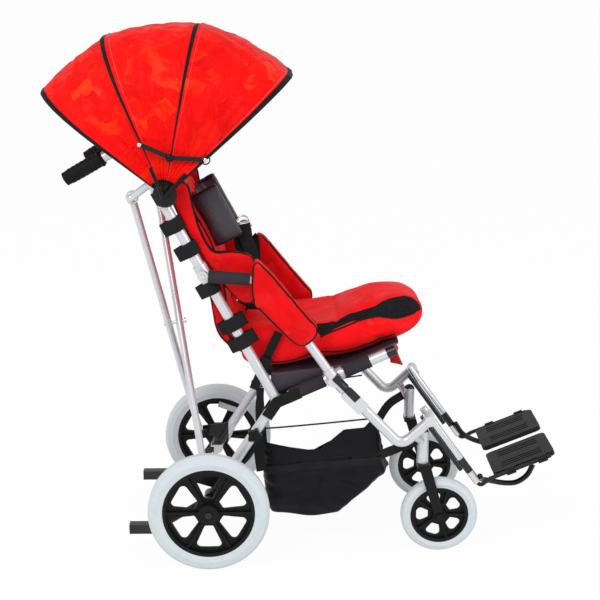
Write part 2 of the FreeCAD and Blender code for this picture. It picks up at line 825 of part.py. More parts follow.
for tag, side in sides.items():
    stem_x = caster_forward
    plane_y = side * size("front_track_half")
    half_gap = size("front_tyre_width") / 2 + size("fork_gap")
    top = size("caster_tube_bottom") - size("clearance")
    bottom = top - size("crown_thickness")
    reach = half_gap + size("fork_plate")
    crown = Part.makeBox(
        size("fork_width") * 1.3,
        2 * reach,
        size("crown_thickness"),
        spot(stem_x - size("fork_width") * 0.55, plane_y - reach, bottom),
    )
    stem = Part.makeCylinder(
        size("caster_stem_radius"),
        (size("caster_tube_top") - size("caster_tube_bottom")) * 0.8,
        spot(stem_x, plane_y, top - size("overrun") * 0.5),
    )
    half_width = size("fork_width") / 2
    hub_x = size("wheelbase")
    hub_z = size("front_wheel_radius")
    blades = []
    for way in (-1, 1):
        inner = plane_y + way * half_gap
        outline = [
            (stem_x - half_width, top),
            (hub_x - half_width, hub_z),
            (hub_x - half_width * 0.6, hub_z - half_width * 0.8),
            (hub_x + half_width * 0.6, hub_z - half_width * 0.8),
            (hub_x + half_width, hub_z),
            (stem_x + half_width * 1.5, top),
        ]
        blades.append(prism(outline, inner, inner + way * size("fork_plate")))
    spindle = Part.makeCylinder(
        size("front_axle_radius"),
        2 * reach + 2 * size("fork_plate"),
        spot(hub_x, plane_y - reach - size("fork_plate"), hub_z),
        Vector(0, 1, 0),
    )
    nut_at = spot(hub_x, plane_y + reach, hub_z)
    nut = Part.makeCylinder(
        size("front_axle_radius") * 1.8, size("fork_plate"), nut_at, Vector(0, 1, 0)
    )
    far_at = spot(hub_x, plane_y - reach, hub_z)
    head = Part.makeCylinder(
        size("front_axle_radius") * 1.8, size("fork_plate"), far_at, Vector(0, -1, 0)
    )
    spacers = []
    for way in (-1, 1):
        room = half_gap - size("front_hub_length") / 2 - size("clearance")
        if room > 0:
            begin = spot(hub_x, plane_y + way * half_gap, hub_z)
            spacers.append(
                Part.makeCylinder(size("front_axle_radius") * 1.5, room, begin, across(-way))
            )
    fork = crown.fuse([stem, spindle, nut, head] + blades + spacers).removeSplitter()
    keep(f"caster_fork_{tag}", shaped(f"caster_fork_{tag}_shape", fork))


# Rear cross brace: a fork each side that tilts, and two tubes crossed on one bolt

half_brace = size("brace_half_width")
for tag, side in sides.items():
    centre = brace_foot + across(side * half_brace)
    across_half = across(size("fork_block") / 2)
    body = cylinder(
        f"brace_fork_body_{tag}", "sizes.fork_block * 0.45", centre - across_half, centre + across_half
    )
    pin_end = centre + brace_normal * (-side * (size("brace_spread") + size("brace_tube_radius")))
    pin = cylinder(f"brace_fork_pin_{tag}", "sizes.brace_pin_radius", centre, pin_end)
    bore = cylinder(
        f"brace_fork_bore_{tag}",
        "sizes.brace_pin_radius + sizes.slip",
        centre,
        centre + across(side * size("fork_block")),
    )
    keep(
        f"brace_fork_{tag}",
        carved(f"brace_fork_{tag}", joined(f"brace_fork_outer_{tag}", body, pin), bore),
    )


def brace_tube(name, low_side, fitted):
    # one diagonal, from the low fork on one side to the cane on the other
    shift = brace_normal * (-low_side * size("brace_spread"))
    low = brace_foot + across(low_side * half_brace) + shift
    high = brace_head + across(-low_side * half_brace) + shift
    way = (high - low).normalize()
    low_bore = "sizes.brace_pin_radius + " + ("sizes.slip" if fitted else "sizes.open_pivot_gap")
    ring_thickness = size("brace_tube_radius")
    low_ring, low_hole = eye(
        name + "_low",
        f"{low_bore} + sizes.cheek_thickness",
        low_bore,
        low,
        brace_normal,
        ring_thickness
    )
    high_bore = "sizes.brace_pin_radius + sizes.open_pivot_gap"
    high_ring, high_hole = eye(
        name + "_high",
        f"{high_bore} + sizes.cheek_thickness",
        high_bore,
        high,
        Vector(0, 1, 0),
        ring_thickness
    )
    margin_low = size("brace_pin_radius") + (size("slip") if fitted else size("open_pivot_gap"))
    margin_high = size("brace_pin_radius") + size("open_pivot_gap") + size("brace_slot")
    bar_low = low + way * (margin_low + size("brace_neck"))
    bar_high = high - way * (margin_high + size("cheek_thickness") * 0.5)
    bar = cylinder(name + "_bar", "sizes.brace_tube_radius", bar_low, bar_high)
    neck = cylinder(
        name + "_neck",
        "sizes.brace_tube_radius * 0.44",
        low + way * (margin_low + size("cheek_thickness") * 0.5),
        bar_low + way * size("overrun"),
    )
    slotted = high - way * size("brace_slot")
    slot_ring, slot_hole = eye(
        name + "_slot",
        f"{high_bore} + sizes.cheek_thickness",
        high_bore,
        slotted,
        Vector(0, 1, 0),
        ring_thickness
    )
    middle = (low + high) * 0.5
    pieces = [bar, neck, low_ring, high_ring, slot_ring]
    holes = [low_hole, high_hole, slot_hole]
    span = brace_normal * (size("brace_spread") + size("brace_tube_radius") * 1.4)
    if fitted:
        centre = middle - shift
        pieces.append(cylinder(name + "_bolt", "sizes.brace_bolt_radius", centre - span, centre + span))
        head = brace_normal * size("cheek_thickness")
        pieces.append(
            cylinder(
                name + "_head", "sizes.brace_bolt_radius * 1.8", centre + span, centre + span + head
            )
        )
    else:
        holes.append(
            cylinder(
                name + "_bolt_hole",
                "sizes.brace_bolt_radius + sizes.slip",
                middle - span,
                middle + span,
            )
        )
    keep(name, carved(name, joined(name + "_outer", *pieces), *holes))


brace_tube("brace_tube_front", sides["right"], True)
brace_tube("brace_tube_rear", sides["left"], False)


# Hood

def bow_points(reach, half_width, angle, start):
    # corner points of a bow: up one side, over and down the other, in its own tilted plane
    way = slope(angle)
    return [
        hood_hub + across(-half_width) + way * start,
        hood_hub + across(-half_width) + way * reach,
        hood_hub + across(half_width) + way * reach,
        hood_hub + across(half_width) + way * start,
    ]


def bow(name, reach, half_width, angle, with_eyes):
    start = size("hood_eye_radius") * (0.7 if with_eyes else 2.2)
    path = bent_path(bow_points(reach, half_width, angle, start), size("hood_corner_radius"))
    rod = swept(path, size("hood_bow_radius"))
    if not with_eyes:
        return rod
    for side in sides.values():
        thickness = size("hood_width_step") - 2 * size("clearance")
        centre = hood_hub + across(side * half_width)
        base = centre - across(thickness / 2)
        ring = Part.makeCylinder(size("hood_eye_radius"), thickness, base, Vector(0, 1, 0))
        rod = rod.fuse(ring)
    for side in sides.values():
        base = hood_hub + across(side * half_width - size("hood_width_step"))
        hole_radius = size("hood_pin_radius") + size("slip")
        rod = rod.cut(
            Part.makeCylinder(hole_radius, 2 * size("hood_width_step"), base, Vector(0, 1, 0))
        )
    return rod


first_half = size("hood_half_width")
third_half = first_half + size("hood_width_step")
front_half = third_half + size("hood_width_step")
stud_plane = front_half + size("hood_bow_radius") + 3 * size("hood_cloth") + 7 * size("clearance")
link_step = size("brace_link_thickness") + size("clearance")


def studs(reach, angle, half_width, far):
    pins = []
    for side in sides.values():
        base = hood_hub + slope(angle) * reach + across(side * half_width)
        pins.append(Part.makeCylinder(size("stud_radius"), far - half_width, base, across(side)))
    return pins


# fixed bows stand in a hub plate each side, and carry the rear studs of the folding braces
stud_out = stud_plane + 2 * link_step + size("clearance")
fixed = bow("rear_bow", size("rear_bow_reach"), first_half, size("rear_bow_angle"), False)
second = bow("second_bow", size("second_bow_reach"), first_half, size("second_bow_angle"), False)
second = second.fuse(studs(size("stud_reach_back"), size("second_bow_angle"), first_half, stud_out))
hub_plates = []
for side in sides.values():
    base = hood_hub + across(side * first_half - size("hood_bow_radius"))
    outer_radius = size("hood_eye_radius") * 2.6
    plate = Part.makeCylinder(outer_radius, 2 * size("hood_bow_radius"), base, Vector(0, 1, 0))
    hole_base = base - across(size("overrun"))
    hole_length = 2 * size("hood_bow_radius") + 2 * size("overrun")
    hole = Part.makeCylinder(
        size("hood_pin_radius") + size("slip"), hole_length, hole_base, Vector(0, 1, 0)
    )
    hub_plates.append(plate.cut(hole))
fixed_bows = Part.makeCompound([fixed.fuse([second] + hub_plates)])
keep("hood_fixed_bows", shaped("hood_fixed_bows_shape", fixed_bows.Solids[0]))
third = bow("third_bow", size("third_bow_reach"), third_half, size("third_bow_angle"), True)
keep("hood_third_bow", shaped("hood_third_bow_shape", third))
front = bow("front_bow", size("front_bow_reach"), front_half, size("front_bow_angle"), True)
front = front.fuse(studs(size("stud_reach_front"), size("front_bow_angle"), front_half, stud_out))
keep("hood_front_bow", shaped("hood_front_bow_shape", front))


def cloth_section(reach, half_width, angle):
    # closed strip: outer edge of the cloth over the bow, and back along its inner edge
    start = size("hood_eye_radius") * 2.8
    edges = []
    outer_points = bow_points(reach, half_width, angle, start)
    wall = size("hood_cloth")
    inner_points = bow_points(reach - wall, half_width - wall, angle, start)
    outer = bent_path(outer_points, size("hood_corner_radius"))
    inner = bent_path(inner_points, size("hood_corner_radius") - wall)
    edges += outer.Edges
    edges.append(Part.LineSegment(outer_points[-1], inner_points[-1]).toShape())
    edges += inner.Edges
    edges.append(Part.LineSegment(outer_points[0], inner_points[0]).toShape())
    return Part.Wire(Part.__sortEdges__(edges))


def panel(name, layer, back, ahead):
    reach_back, half_back, angle_back = back
    reach_ahead, half_ahead, angle_ahead = ahead
    ply = size("hood_cloth") + size("clearance")
    lift = size("hood_bow_radius") + 2 * size("clearance") + ply * (1 + layer)
    dip = size("hood_dip")
    sections = [
        cloth_section(reach_back + lift, half_back + lift, angle_back),
        cloth_section(
            (reach_back + reach_ahead) / 2 + lift - dip * 0.4,
            (half_back + half_ahead) / 2 + lift,
            (angle_back + angle_ahead) / 2,
        ),
        cloth_section(reach_ahead + lift, half_ahead + lift, angle_ahead),
    ]
    cloth = Part.makeLoft(sections, True, True)
    eyelets = []
    for stud_reach, stud_angle in (
        (size("stud_reach_back"), size("second_bow_angle")),
        (size("stud_reach_front"), size("front_bow_angle")),
    ):
        start = hood_hub + slope(stud_angle) * stud_reach - across(2 * first_half)
        eyelet = size("stud_radius") + size("clearance")
        eyelets.append(Part.makeCylinder(eyelet, 4 * first_half, start, Vector(0, 1, 0)))
    keep(name, shaped(name + "_shape", cloth.cut(eyelets)))


rear_edge = (size("rear_bow_reach"), first_half, size("rear_bow_angle"))
second_edge = (size("second_bow_reach"), first_half, size("second_bow_angle"))
third_edge = (size("third_bow_reach"), third_half, size("third_bow_angle"))
front_edge = (size("front_bow_reach"), front_half, size("front_bow_angle"))
seam = 0.3


def trimmed(edge, degrees):
    reach, half_width, angle = edge
    return (reach, half_width, angle + degrees)


panel("hood_panel_rear", 0, rear_edge, trimmed(second_edge, seam))
panel("hood_panel_middle", 1, trimmed(second_edge, -seam), trimmed(third_edge, seam))
panel("hood_panel_front", 2, trimmed(third_edge, -seam), front_edge)

# folding braces outside the hood
stud_back = hood_hub + slope(size("second_bow_angle")) * size("stud_reach_back")
stud_ahead = hood_hub + slope(size("front_bow_angle")) * size("stud_reach_front")
span = stud_ahead - stud_back
spread_cosine = (size("brace_link_back") ** 2 + span.Length ** 2 - size("brace_link_front") ** 2) / (
    2 * size("brace_link_back") * span.Length
)
span_angle = math.degrees(math.atan2(span.z, span.x))
link_back_angle = span_angle - math.degrees(math.acos(spread_cosine))
knuckle_point = stud_back + slope(link_back_angle) * size("brace_link_back")


def flat_link(start, end, plane_y, side, start_bore, end_bore, end_pin):
    way = (end - start).normalize()
    wide = way.cross(Vector(0, 1, 0)) * (size("brace_link_width") / 2)
    shift = across(side * plane_y)
    thick = across(side * size("brace_link_thickness"))
    corners = [start + wide, end + wide, end - wide, start - wide]
    link = Part.Face(Part.makePolygon([c + shift for c in corners + corners[:1]])).extrude(thick)
    for point, bore in ((start, start_bore), (end, end_bore)):
        radius = max(size("brace_link_width") / 2, bore + size("brace_link_thickness"))
        link = link.fuse(
            Part.makeCylinder(radius, size("brace_link_thickness"), point + shift, across(side))
        )
    for point, bore in ((start, start_bore), (end, end_bore)):
        if bore > 0:
            base = point + across(side * (plane_y - size("brace_link_thickness")))
            link = link.cut(
                Part.makeCylinder(bore, 3 * size("brace_link_thickness"), base, across(side))
            )
    if end_pin > 0:
        base = end + across(side * plane_y)
        link = link.fuse(Part.makeCylinder(size("stud_radius"), end_pin, base, across(side)))
    return link


fit_bore = size("stud_radius") + size("slip")
back_links = []
front_links = []
for side in sides.values():
    pin_length = 2 * link_step + size("clearance")
    back_links.append(flat_link(stud_back, knuckle_point, stud_plane, side, fit_bore, 0, pin_length))
    open_bore = size("stud_radius") + size("open_pivot_gap")
    front_links.append(
        flat_link(knuckle_point, stud_ahead, stud_plane + link_step, side, fit_bore, open_bore, 0)
    )
keep("hood_brace_links_rear", shaped("hood_brace_links_rear_shape", Part.makeCompound(back_links)))
keep("hood_brace_links_front", shaped("hood_brace_links_front_shape", Part.makeCompound(front_links)))

# clamps that hold the hood pins on the canes
for tag, side in sides.items():
    plane = across(side * frame_half)
    on_cane = seat_pivot + cane_way * ((hood_hub - seat_pivot).dot(cane_way)) + plane
    half = cane_way * (size("clamp_length") * 0.35)
    collar = cylinder(
        f"hood_collar_{tag}",
        "sizes.tube_radius + sizes.cheek_thickness",
        on_cane - half,
        on_cane + half
    )
    arm = cylinder(f"hood_arm_{tag}", "sizes.tube_radius * 0.8", on_cane, hood_hub + plane)
    boss_end = hood_hub + across(side * (first_half - size("hood_bow_radius") - size("clearance")))
    boss = cylinder(f"hood_boss_{tag}", "sizes.tube_radius", hood_hub + plane, boss_end)
    lever_y = side * (stud_out + size("hood_lever_radius") + size("clearance"))
    pin_end = hood_hub + across(lever_y)
    pin = cylinder(f"hood_pin_{tag}", "sizes.hood_pin_radius", hood_hub + plane, pin_end)
    hole = cylinder(
        f"hood_collar_hole_{tag}",
        "sizes.tube_radius + sizes.slip",
        on_cane - half * 2,
        on_cane + half * 2
    )
    levers = []
    for place, angle in (("back", 112.0), ("front", 47.0)):
        lever_start = hood_hub + across(lever_y)
        lever_end = lever_start + slope(angle) * size("hood_lever_length")
        levers.append(
            cylinder(f"hood_lever_{place}_{tag}", "sizes.hood_lever_radius", lever_start, lever_end)
        )
    clamp = joined(f"hood_clamp_outer_{tag}", collar, arm, boss, pin, *levers)
    keep(f"hood_clamp_{tag}", carved(f"hood_clamp_{tag}", clamp, hole))


# Foot rests

hanger_way = slope(-size("hanger_slope"))
hanger_square = slope(90 - size("hanger_slope"))
for tag, side in sides.items():
    plane = across(side * size("hanger_half_width"))
    centre = toe_end
    top = centre - hanger_way * size("hanger_above")
    low = centre + hanger_way * size("hanger_length")
    outer = cylinder(f"hanger_outer_{tag}", "sizes.hanger_radius", top + plane, low + plane)
    bore = cylinder(
        f"hanger_bore_{tag}",
        "sizes.slider_radius + sizes.slip",
        top + plane + hanger_way * size("overrun"),
        low + plane + hanger_way * size("overrun"),
    )
    hinge_in = centre + across(side * (size("hanger_half_width") - size("hanger_radius") * 0.5))
    hinge_out = centre + across(side * (link_half - size("tube_radius") - size("clearance")))
    hinge = cylinder(f"hanger_hinge_{tag}", "sizes.tube_radius * 1.1", hinge_in, hinge_out)
    hinge_bore = cylinder(
        f"hanger_hinge_bore_{tag}",
        "sizes.pivot_pin_radius + sizes.slip",
        centre + across(side * (size("hanger_half_width") + size("hanger_radius") + size("clearance"))),
        centre + across(side * link_half),
    )
    body = joined(f"hanger_solid_{tag}", outer, hinge)
    hanger_tube = carved(f"hanger_tube_{tag}", body, bore, hinge_bore)

    back = -(size("hanger_radius") + size("channel_depth") / 2 + size("clearance"))
    channel_from = top + plane + hanger_square * back + hanger_way * size("clamp_radius")
    channel_length = (size("hanger_length") + size("hanger_above")) * size("channel_share")
    shape = Part.makeBox(size("channel_depth"), size("channel_width"), channel_length)
    shape.translate(Vector(-size("channel_depth") / 2, -size("channel_width") / 2, 0))
    shape.Placement = turned(hanger_way, channel_from).multiply(shape.Placement)
    long_edges = [e for e in shape.Edges if abs(e.tangentAt(e.FirstParameter).dot(hanger_way)) > 0.9]
    shape = shape.makeFillet(size("cheek_thickness"), long_edges)
    hinge_room = Part.makeCylinder(
        size("tube_radius") * 1.1 + size("clearance"),
        2 * size("link_offset"),
        centre + across(
            side * (size("hanger_half_width") - size("hanger_radius") * 0.5)
        ) - across(side * size("slip")),
        across(side),
    )
    channel = shaped(f"hanger_channel_{tag}", shape.cut(hinge_room))
    pair = doc.addObject("Part::Compound", f"hanger_pair_{tag}")
    pair.Links = [hanger_tube, channel]
    keep(f"hanger_{tag}", pair)

    # telescoping tube with the bent arm of the foot plate
    slider_top = low + plane - hanger_way * (size("hanger_length") * 0.5)
    slider_end = low + plane + hanger_way * size("slider_out")
    plate_way = slope(size("foot_plate_slope"))
    plate_mid = spot(size("foot_plate_forward"), 0, size("foot_plate_height"))
    inner_y = size("foot_plate_inner_gap") / 2
    hinge_y = side * (inner_y + size("foot_plate_width"))
    pivot_y = across(hinge_y + side * (size("foot_pivot_radius") + size("cheek_thickness") / 2))
    pivot_back = plate_mid - plate_way * (size("foot_plate_length") * 0.5 - size("overrun")) + pivot_y
    pivot_front = plate_mid + plate_way * (size("foot_plate_length") * 0.42) + pivot_y
    path = bent_path(
        [slider_top, slider_end, pivot_back - plate_way * size("clamp_radius"), pivot_front],
        size("foot_arm_bend"),
    )
    arm_shape = swept(path, size("foot_pivot_radius"))
    sleeve_top = slider_top
    sleeve = Part.makeCylinder(
        size("slider_radius"),
        (slider_end - slider_top).Length - size("foot_arm_bend") * 1.4,
        sleeve_top,
        hanger_way,
    )
    keep(f"foot_slider_{tag}", shaped(f"foot_slider_{tag}_shape", arm_shape.fuse(sleeve)))

    # foot plate on two knuckles round the arm
    half_length = size("foot_plate_length") / 2
    thick = size("foot_plate_thickness")
    slab = Part.makeBox(2 * half_length, size("foot_plate_width"), thick)
    slab.translate(Vector(-half_length, 0 if side > 0 else -size("foot_plate_width"), -thick / 2))
    upright = [e for e in slab.Edges if abs(e.tangentAt(e.FirstParameter).z) > 0.9]
    slab = slab.makeFillet(thick * 1.2, upright)
    for group in (-1, 1):
        for step in (-1, 0, 1):
            centre_y = side * (
                size("foot_plate_width") * (0.5 + 0.24 * group)
            ) + step * 2.4 * size("groove_width")
            groove = Part.makeBox(half_length * 1.3, size("groove_width"), size("groove_depth") * 2)
            groove.translate(
                Vector(
                    -half_length * 0.65,
                    centre_y - size("groove_width") / 2,
                    thick / 2 - size("groove_depth"),
                )
            )
            slab = slab.cut(groove)
    knuckle_y = side * (
        size("foot_plate_width") + size("foot_pivot_radius") + size("cheek_thickness") / 2
    )
    outer_radius = size("foot_pivot_radius") + size("cheek_thickness")
    for share in (-0.62, 0.42):
        base = Vector(share * half_length, knuckle_y, 0)
        slab = slab.fuse(Part.makeCylinder(outer_radius, half_length * 0.3, base, Vector(1, 0, 0)))
    slab = slab.cut(
        Part.makeCylinder(
            size("foot_pivot_radius") + size("slip"),
            3 * half_length,
            Vector(-1.5 * half_length, knuckle_y, 0),
            Vector(1, 0, 0)
        )
    )
    slab.Placement = Placement(
        plate_mid + across(side * inner_y), Rotation(Vector(0, 1, 0), -size("foot_plate_slope"))
    )
    keep(f"foot_plate_{tag}", shaped(f"foot_plate_{tag}_shape", slab))


# Wheel lock levers and clamp knobs

for tag, side in sides.items():
    plane_y = side * frame_half
    on_leg = seat_pivot + rear_leg_way * (
        rear_leg_length * size("knob_share_along_leg")
    ) + across(plane_y)
    out = side * (size("tube_radius") + size("clearance"))
    knob = Part.makeCylinder(
        size("knob_radius") * 0.8, size("knob_length"), on_leg + across(out), across(side)
    )
    for lobe in range(5):
        turn = slope(72 * lobe) * (size("knob_radius") * 0.72)
        knob = knob.fuse(
            Part.makeCylinder(
                size("knob_radius") * 0.34,
                size("knob_length"),
                on_leg + across(out) + turn,
                across(side),
            )
        )
    keep(f"clamp_knob_{tag}", shaped(f"clamp_knob_{tag}_shape", knob.removeSplitter()))

    lever_root = seat_pivot + rear_leg_way * (rear_leg_length * 0.62) + across(
        side * (frame_half + size("tube_radius") + size("clearance"))
    )
    lever_way = slope(160)
    lever_tip = lever_root + lever_way * size("lever_length")
    wide = lever_way.cross(Vector(0, 1, 0)) * (size("lever_width") / 2)
    corners = [lever_root + wide, lever_tip + wide, lever_tip - wide, lever_root - wide]
    lever = Part.Face(
        Part.makePolygon(corners + corners[:1])
    ).extrude(across(side * size("lever_thickness")))
    lever = lever.fuse(
        Part.makeCylinder(
            size("lever_width") / 2, size("lever_thickness") * 1.5, lever_root, across(side)
        ),
    )
    keep(f"wheel_lock_lever_{tag}", shaped(f"wheel_lock_lever_{tag}_shape", lever))


# Upholstery

def cushion_profile(y, shrink):
    back = size("cushion_back")
    front = size("cushion_front")
    low = size("seat_pivot_height") + size("cushion_back_rise")
    nose = size("seat_pivot_height") + size("cushion_nose_rise")
    depth = size("cushion_depth")
    rise = size("cushion_rise")
    length = front - back
    outline = [
        (back + length * 0.03, low),
        (back + length * 0.4, low + (nose - low) * 0.42),
        (back + length * 0.78, low + (nose - low) * 0.78),
        (front - length * 0.05, nose),
        (front, nose + depth * 0.34),
        (front - length * 0.07, nose + depth * 0.92),
        (back + length * 0.78, nose + depth + rise * 0.3),
        (back + length * 0.5, nose + depth - rise * 0.3),
        (back + length * 0.22, low + depth + rise * 0.1),
        (back, low + depth * 0.78),
    ]
    centre_x = sum(p[0] for p in outline) / len(outline)
    centre_z = sum(p[1] for p in outline) / len(outline)
    points = [
        spot(centre_x + (x - centre_x) * shrink, y, centre_z + (z - centre_z) * shrink) for x,
        z in outline
    ]
    return smooth_section(points)


half = size("cushion_half_width")
sections = [
    cushion_profile(half * place, shrink)
    for place, shrink in ((-1, 0.8), (-0.9, 0.95), (-0.45, 1.0), (0.45, 1.0), (0.9, 0.95), (1, 0.8))
]
keep("seat_cushion", shaped("seat_cushion_shape", Part.makeLoft(sections, True, False)))

# sling: cloth under the cushion, with a side panel down to each rail
back = size("cushion_back")
span_x = size("cushion_front") - back
low = size("seat_pivot_height") + size("cushion_back_rise")
nose = size("seat_pivot_height") + size("cushion_nose_rise")
thick = size("sling_thickness")
drop = 2 * thick
floor_line = [
    (back - span_x * 0.01, low - drop),
    (back + span_x * 0.4, low + (nose - low) * 0.42 - drop),
    (back + span_x * 0.78, low + (nose - low) * 0.78 - drop),
    (back + span_x * 0.98, nose - drop * 1.4),
]
sling_floor = prism(
    floor_line + [(x, z - thick) for x, z in reversed(floor_line)],
    -size("sling_half_width"),
    size("sling_half_width"),
)
rail_rise = math.tan(math.radians(size("rail_tilt")))
over_rail = size("tube_radius") * 0.4


def above_rail(x):
    return size("seat_pivot_height") + (x - size("seat_pivot_forward")) * rail_rise + over_rail


side_back = back + thick * 2
side_front = size("seat_pivot_forward") + size("rail_length") * 0.86
side_line = [
    (side_back, low + drop),
    (side_back, size("seat_pivot_height") + size("tube_radius") * 0.65),
    (side_front, above_rail(side_front)),
    (back + span_x * 0.98, nose - drop),
    (back + span_x * 0.85, nose + drop * 0.5),
]
sling_parts = [sling_floor]
for side in sides.values():
    outer_y = side * size("sling_half_width")
    sling_parts.append(prism(side_line, outer_y, outer_y - side * thick * 1.6))
keep("seat_sling", shaped("seat_sling_shape", sling_parts[0].fuse(sling_parts[1:]).removeSplitter()))


# back rest: a pad in front of the canes, its lower end curved back between them
back_square = slope(size("cane_tilt"))


def back_profile(y, shrink):
    front_gap = size("back_offset")
    thick = size("back_thickness")
    low = size("back_foot_reach")
    top = size("back_top_reach")
    hip = size("back_hip_reach")
    sag = size("back_hip_offset")
    middle = (top + hip) / 2
    outline = [
        (low, -sag * 0.35),
        (low + (hip - low) * 0.45, -sag * 0.85),
        (hip, -sag),
        (hip * 0.6 + middle * 0.4, -sag * 0.35),
        (middle, front_gap * 0.7),
        (middle * 0.4 + top * 0.6, front_gap),
        (top, front_gap * 1.2),
        (top + thick * 0.3, front_gap * 1.2 + thick * 0.5),
        (top, front_gap * 1.2 + thick),
        (middle * 0.4 + top * 0.6, front_gap + thick),
        (middle, front_gap * 0.7 + thick),
        (hip * 0.6 + middle * 0.4, thick - sag * 0.35),
        (hip, thick - sag),
        (low + (hip - low) * 0.45, thick - sag * 0.85),
        (low - thick * 0.2, thick * 0.8 - sag * 0.35),
    ]
    centre = sum(p[1] for p in outline) / len(outline)
    points = []
    for reach, out in outline:
        place = seat_pivot + cane_way * (middle + (reach - middle) * (0.5 + shrink / 2))
        points.append(place + back_square * (centre + (out - centre) * shrink) + across(y))
    return smooth_section(points)


half = size("back_half_width")
sections = [
    back_profile(half * place, shrink)
    for place, shrink in ((-1, 0.86), (-0.92, 0.97), (-0.45, 1.0), (0.45, 1.0), (0.92, 0.97), (1, 0.86))
]
back_shape = Part.makeLoft(sections, True, False)
side_panel = size("back_side_panel")
arm_end = size("back_side_reach")
side_outlines = (
    ((0.74, 30), (0.74, 62), (0.87, 104), (0.99, 117), (1.1, 94), (1.16, 55), (1.2, 36)),
    ((1.34, 34), (1.42, 48), (1.56, 66), (1.65, 76), (1.69, 62), (1.7, 30)),
)
for side in sides.values():
    for outline in side_outlines:
        points = [
            seat_pivot
            + cane_way * (share * arm_end)
            + back_square * (out / 117 * size("back_side_depth"))
            + across(side * (half - side_panel))
            for share, out in outline
        ]
        panel_face = Part.Face(Part.makePolygon(points + points[:1]))
        back_shape = back_shape.fuse(panel_face.extrude(across(side * side_panel)))
keep("back_rest", shaped("back_rest_shape", back_shape))

# head support: a pad with a wing each side
head_start = size("head_pad_offset")
pad = size("head_pad_thickness")
wing = size("head_wing_thickness")


def head_section(reach, half_width, depth):
    round_off = pad * 0.4
    corners = [
        (round_off, -half_width),
        (0, -half_width + round_off),
        (0, half_width - round_off),
        (round_off, half_width),
        (pad + depth - round_off, half_width),
        (pad + depth, half_width - round_off),
        (pad + depth, half_width - wing + round_off),
        (pad + depth - round_off, half_width - wing),
        (pad + round_off, half_width - wing),
        (pad, half_width - wing - round_off),
        (pad, -half_width + wing + round_off),
        (pad + round_off, -half_width + wing),
        (pad + depth - round_off, -half_width + wing),
        (pad + depth, -half_width + wing - round_off),
        (pad + depth, -half_width + round_off),
        (pad + depth - round_off, -half_width),
    ]
    place = seat_pivot + cane_way * reach + back_square * head_start
    points = [place + back_square * d + across(y) for d, y in corners]
    return Part.makePolygon(points + points[:1])


pad_half = size("head_half_width")
pad_low = size("head_pad_reach")
pad_high = pad_low + size("head_pad_length")
pad_depth = size("head_pad_depth")
sections = [
    head_section(pad_low, pad_half * 0.95, pad_depth * 0.8),
    head_section(pad_low + pad * 0.6, pad_half, pad_depth),
    head_section(pad_high - pad * 0.6, pad_half, pad_depth),
    head_section(pad_high, pad_half * 0.95, pad_depth * 0.8),
]
keep("head_support", shaped("head_support_shape", Part.makeLoft(sections, True, True)))

# side guards: padded sleeves on the arm links
link_length = (arm_front - leg_pivot).Length
link_square = Vector(link_way.z, 0, -link_way.x)
for tag, side in sides.items():
    low = size("guard_low_reach")
    top = link_length + size("guard_top_over")
    half_wide = size("guard_width") / 2
    outline = [
        (low, -half_wide * 0.3),
        (low, half_wide * 0.5),
        (low + half_wide * 0.7, half_wide),
        (top - half_wide * 1.8, half_wide * 0.92),
        (top - half_wide * 0.4, half_wide * 0.35),
        (top, -half_wide * 0.1),
        (top - half_wide * 0.5, -half_wide * 0.42),
        (top - half_wide * 2.2, -half_wide * 0.95),
        (low + half_wide * 0.9, -half_wide * 0.9),
    ]
    thick = size("guard_thickness")
    far_y = link_half + thick / 2
    sections = []
    for share, shrink in ((0, 0.82), (0.14, 0.96), (0.5, 1.0), (0.86, 0.96), (1, 0.82)):
        y = side * (far_y - thick * share)
        middle = (low + top) / 2
        points = [
            leg_pivot + link_way * (
                middle + (r - middle) * shrink
            ) + link_square * (q * shrink) + across(y)
            for r, q in outline
        ]
        sections.append(smooth_section(points))
    guard = Part.makeLoft(sections, True, False)
    bore = Part.makeCylinder(
        size("tube_radius") * 0.88 + size("clearance"),
        2 * link_length,
        leg_pivot + across(side * link_half),
        link_way
    )
    inner_room = Part.makeBox(2 * link_length, thick, link_length)
    inner_room.translate(Vector(-link_length, -thick, 0))
    room_start = arm_front - link_way * size("guard_clevis_reach")
    outer_face = across(link_half + size("arm_foam_radius") + 3 * size("clearance"))
    inner_room.Placement = turned(link_way, room_start + outer_face).multiply(inner_room.Placement)
    if side < 0:
        inner_room = inner_room.mirror(Vector(), Vector(0, 1, 0))
    keep(f"side_guard_{tag}", shaped(f"side_guard_{tag}_shape", guard.cut([bore, inner_room])))


# Basket

def basket_outline(raised):
    back = size("basket_back")
    front = size("basket_front")
    floor = size("basket_floor")
    length = front - back
    rim = size("basket_rim_height")
    front_rim = size("basket_front_height")
    height = front_rim - floor
    outline = [
        (back + length * 0.02, floor + height * 0.11),
        (back + length * 0.15, floor),
        (back + length * 0.65, floor + height * 0.02),
        (front, floor + height * 0.46),
        (front - length * 0.11, front_rim),
        (back - length * 0.03, rim),
    ]
    if raised:
        outline[4] = (front - length * 0.11 - raised * 0.3, front_rim + raised)
        outline[5] = (back - length * 0.03 - raised * 0.3 * 0.2, rim + raised)
    return outline


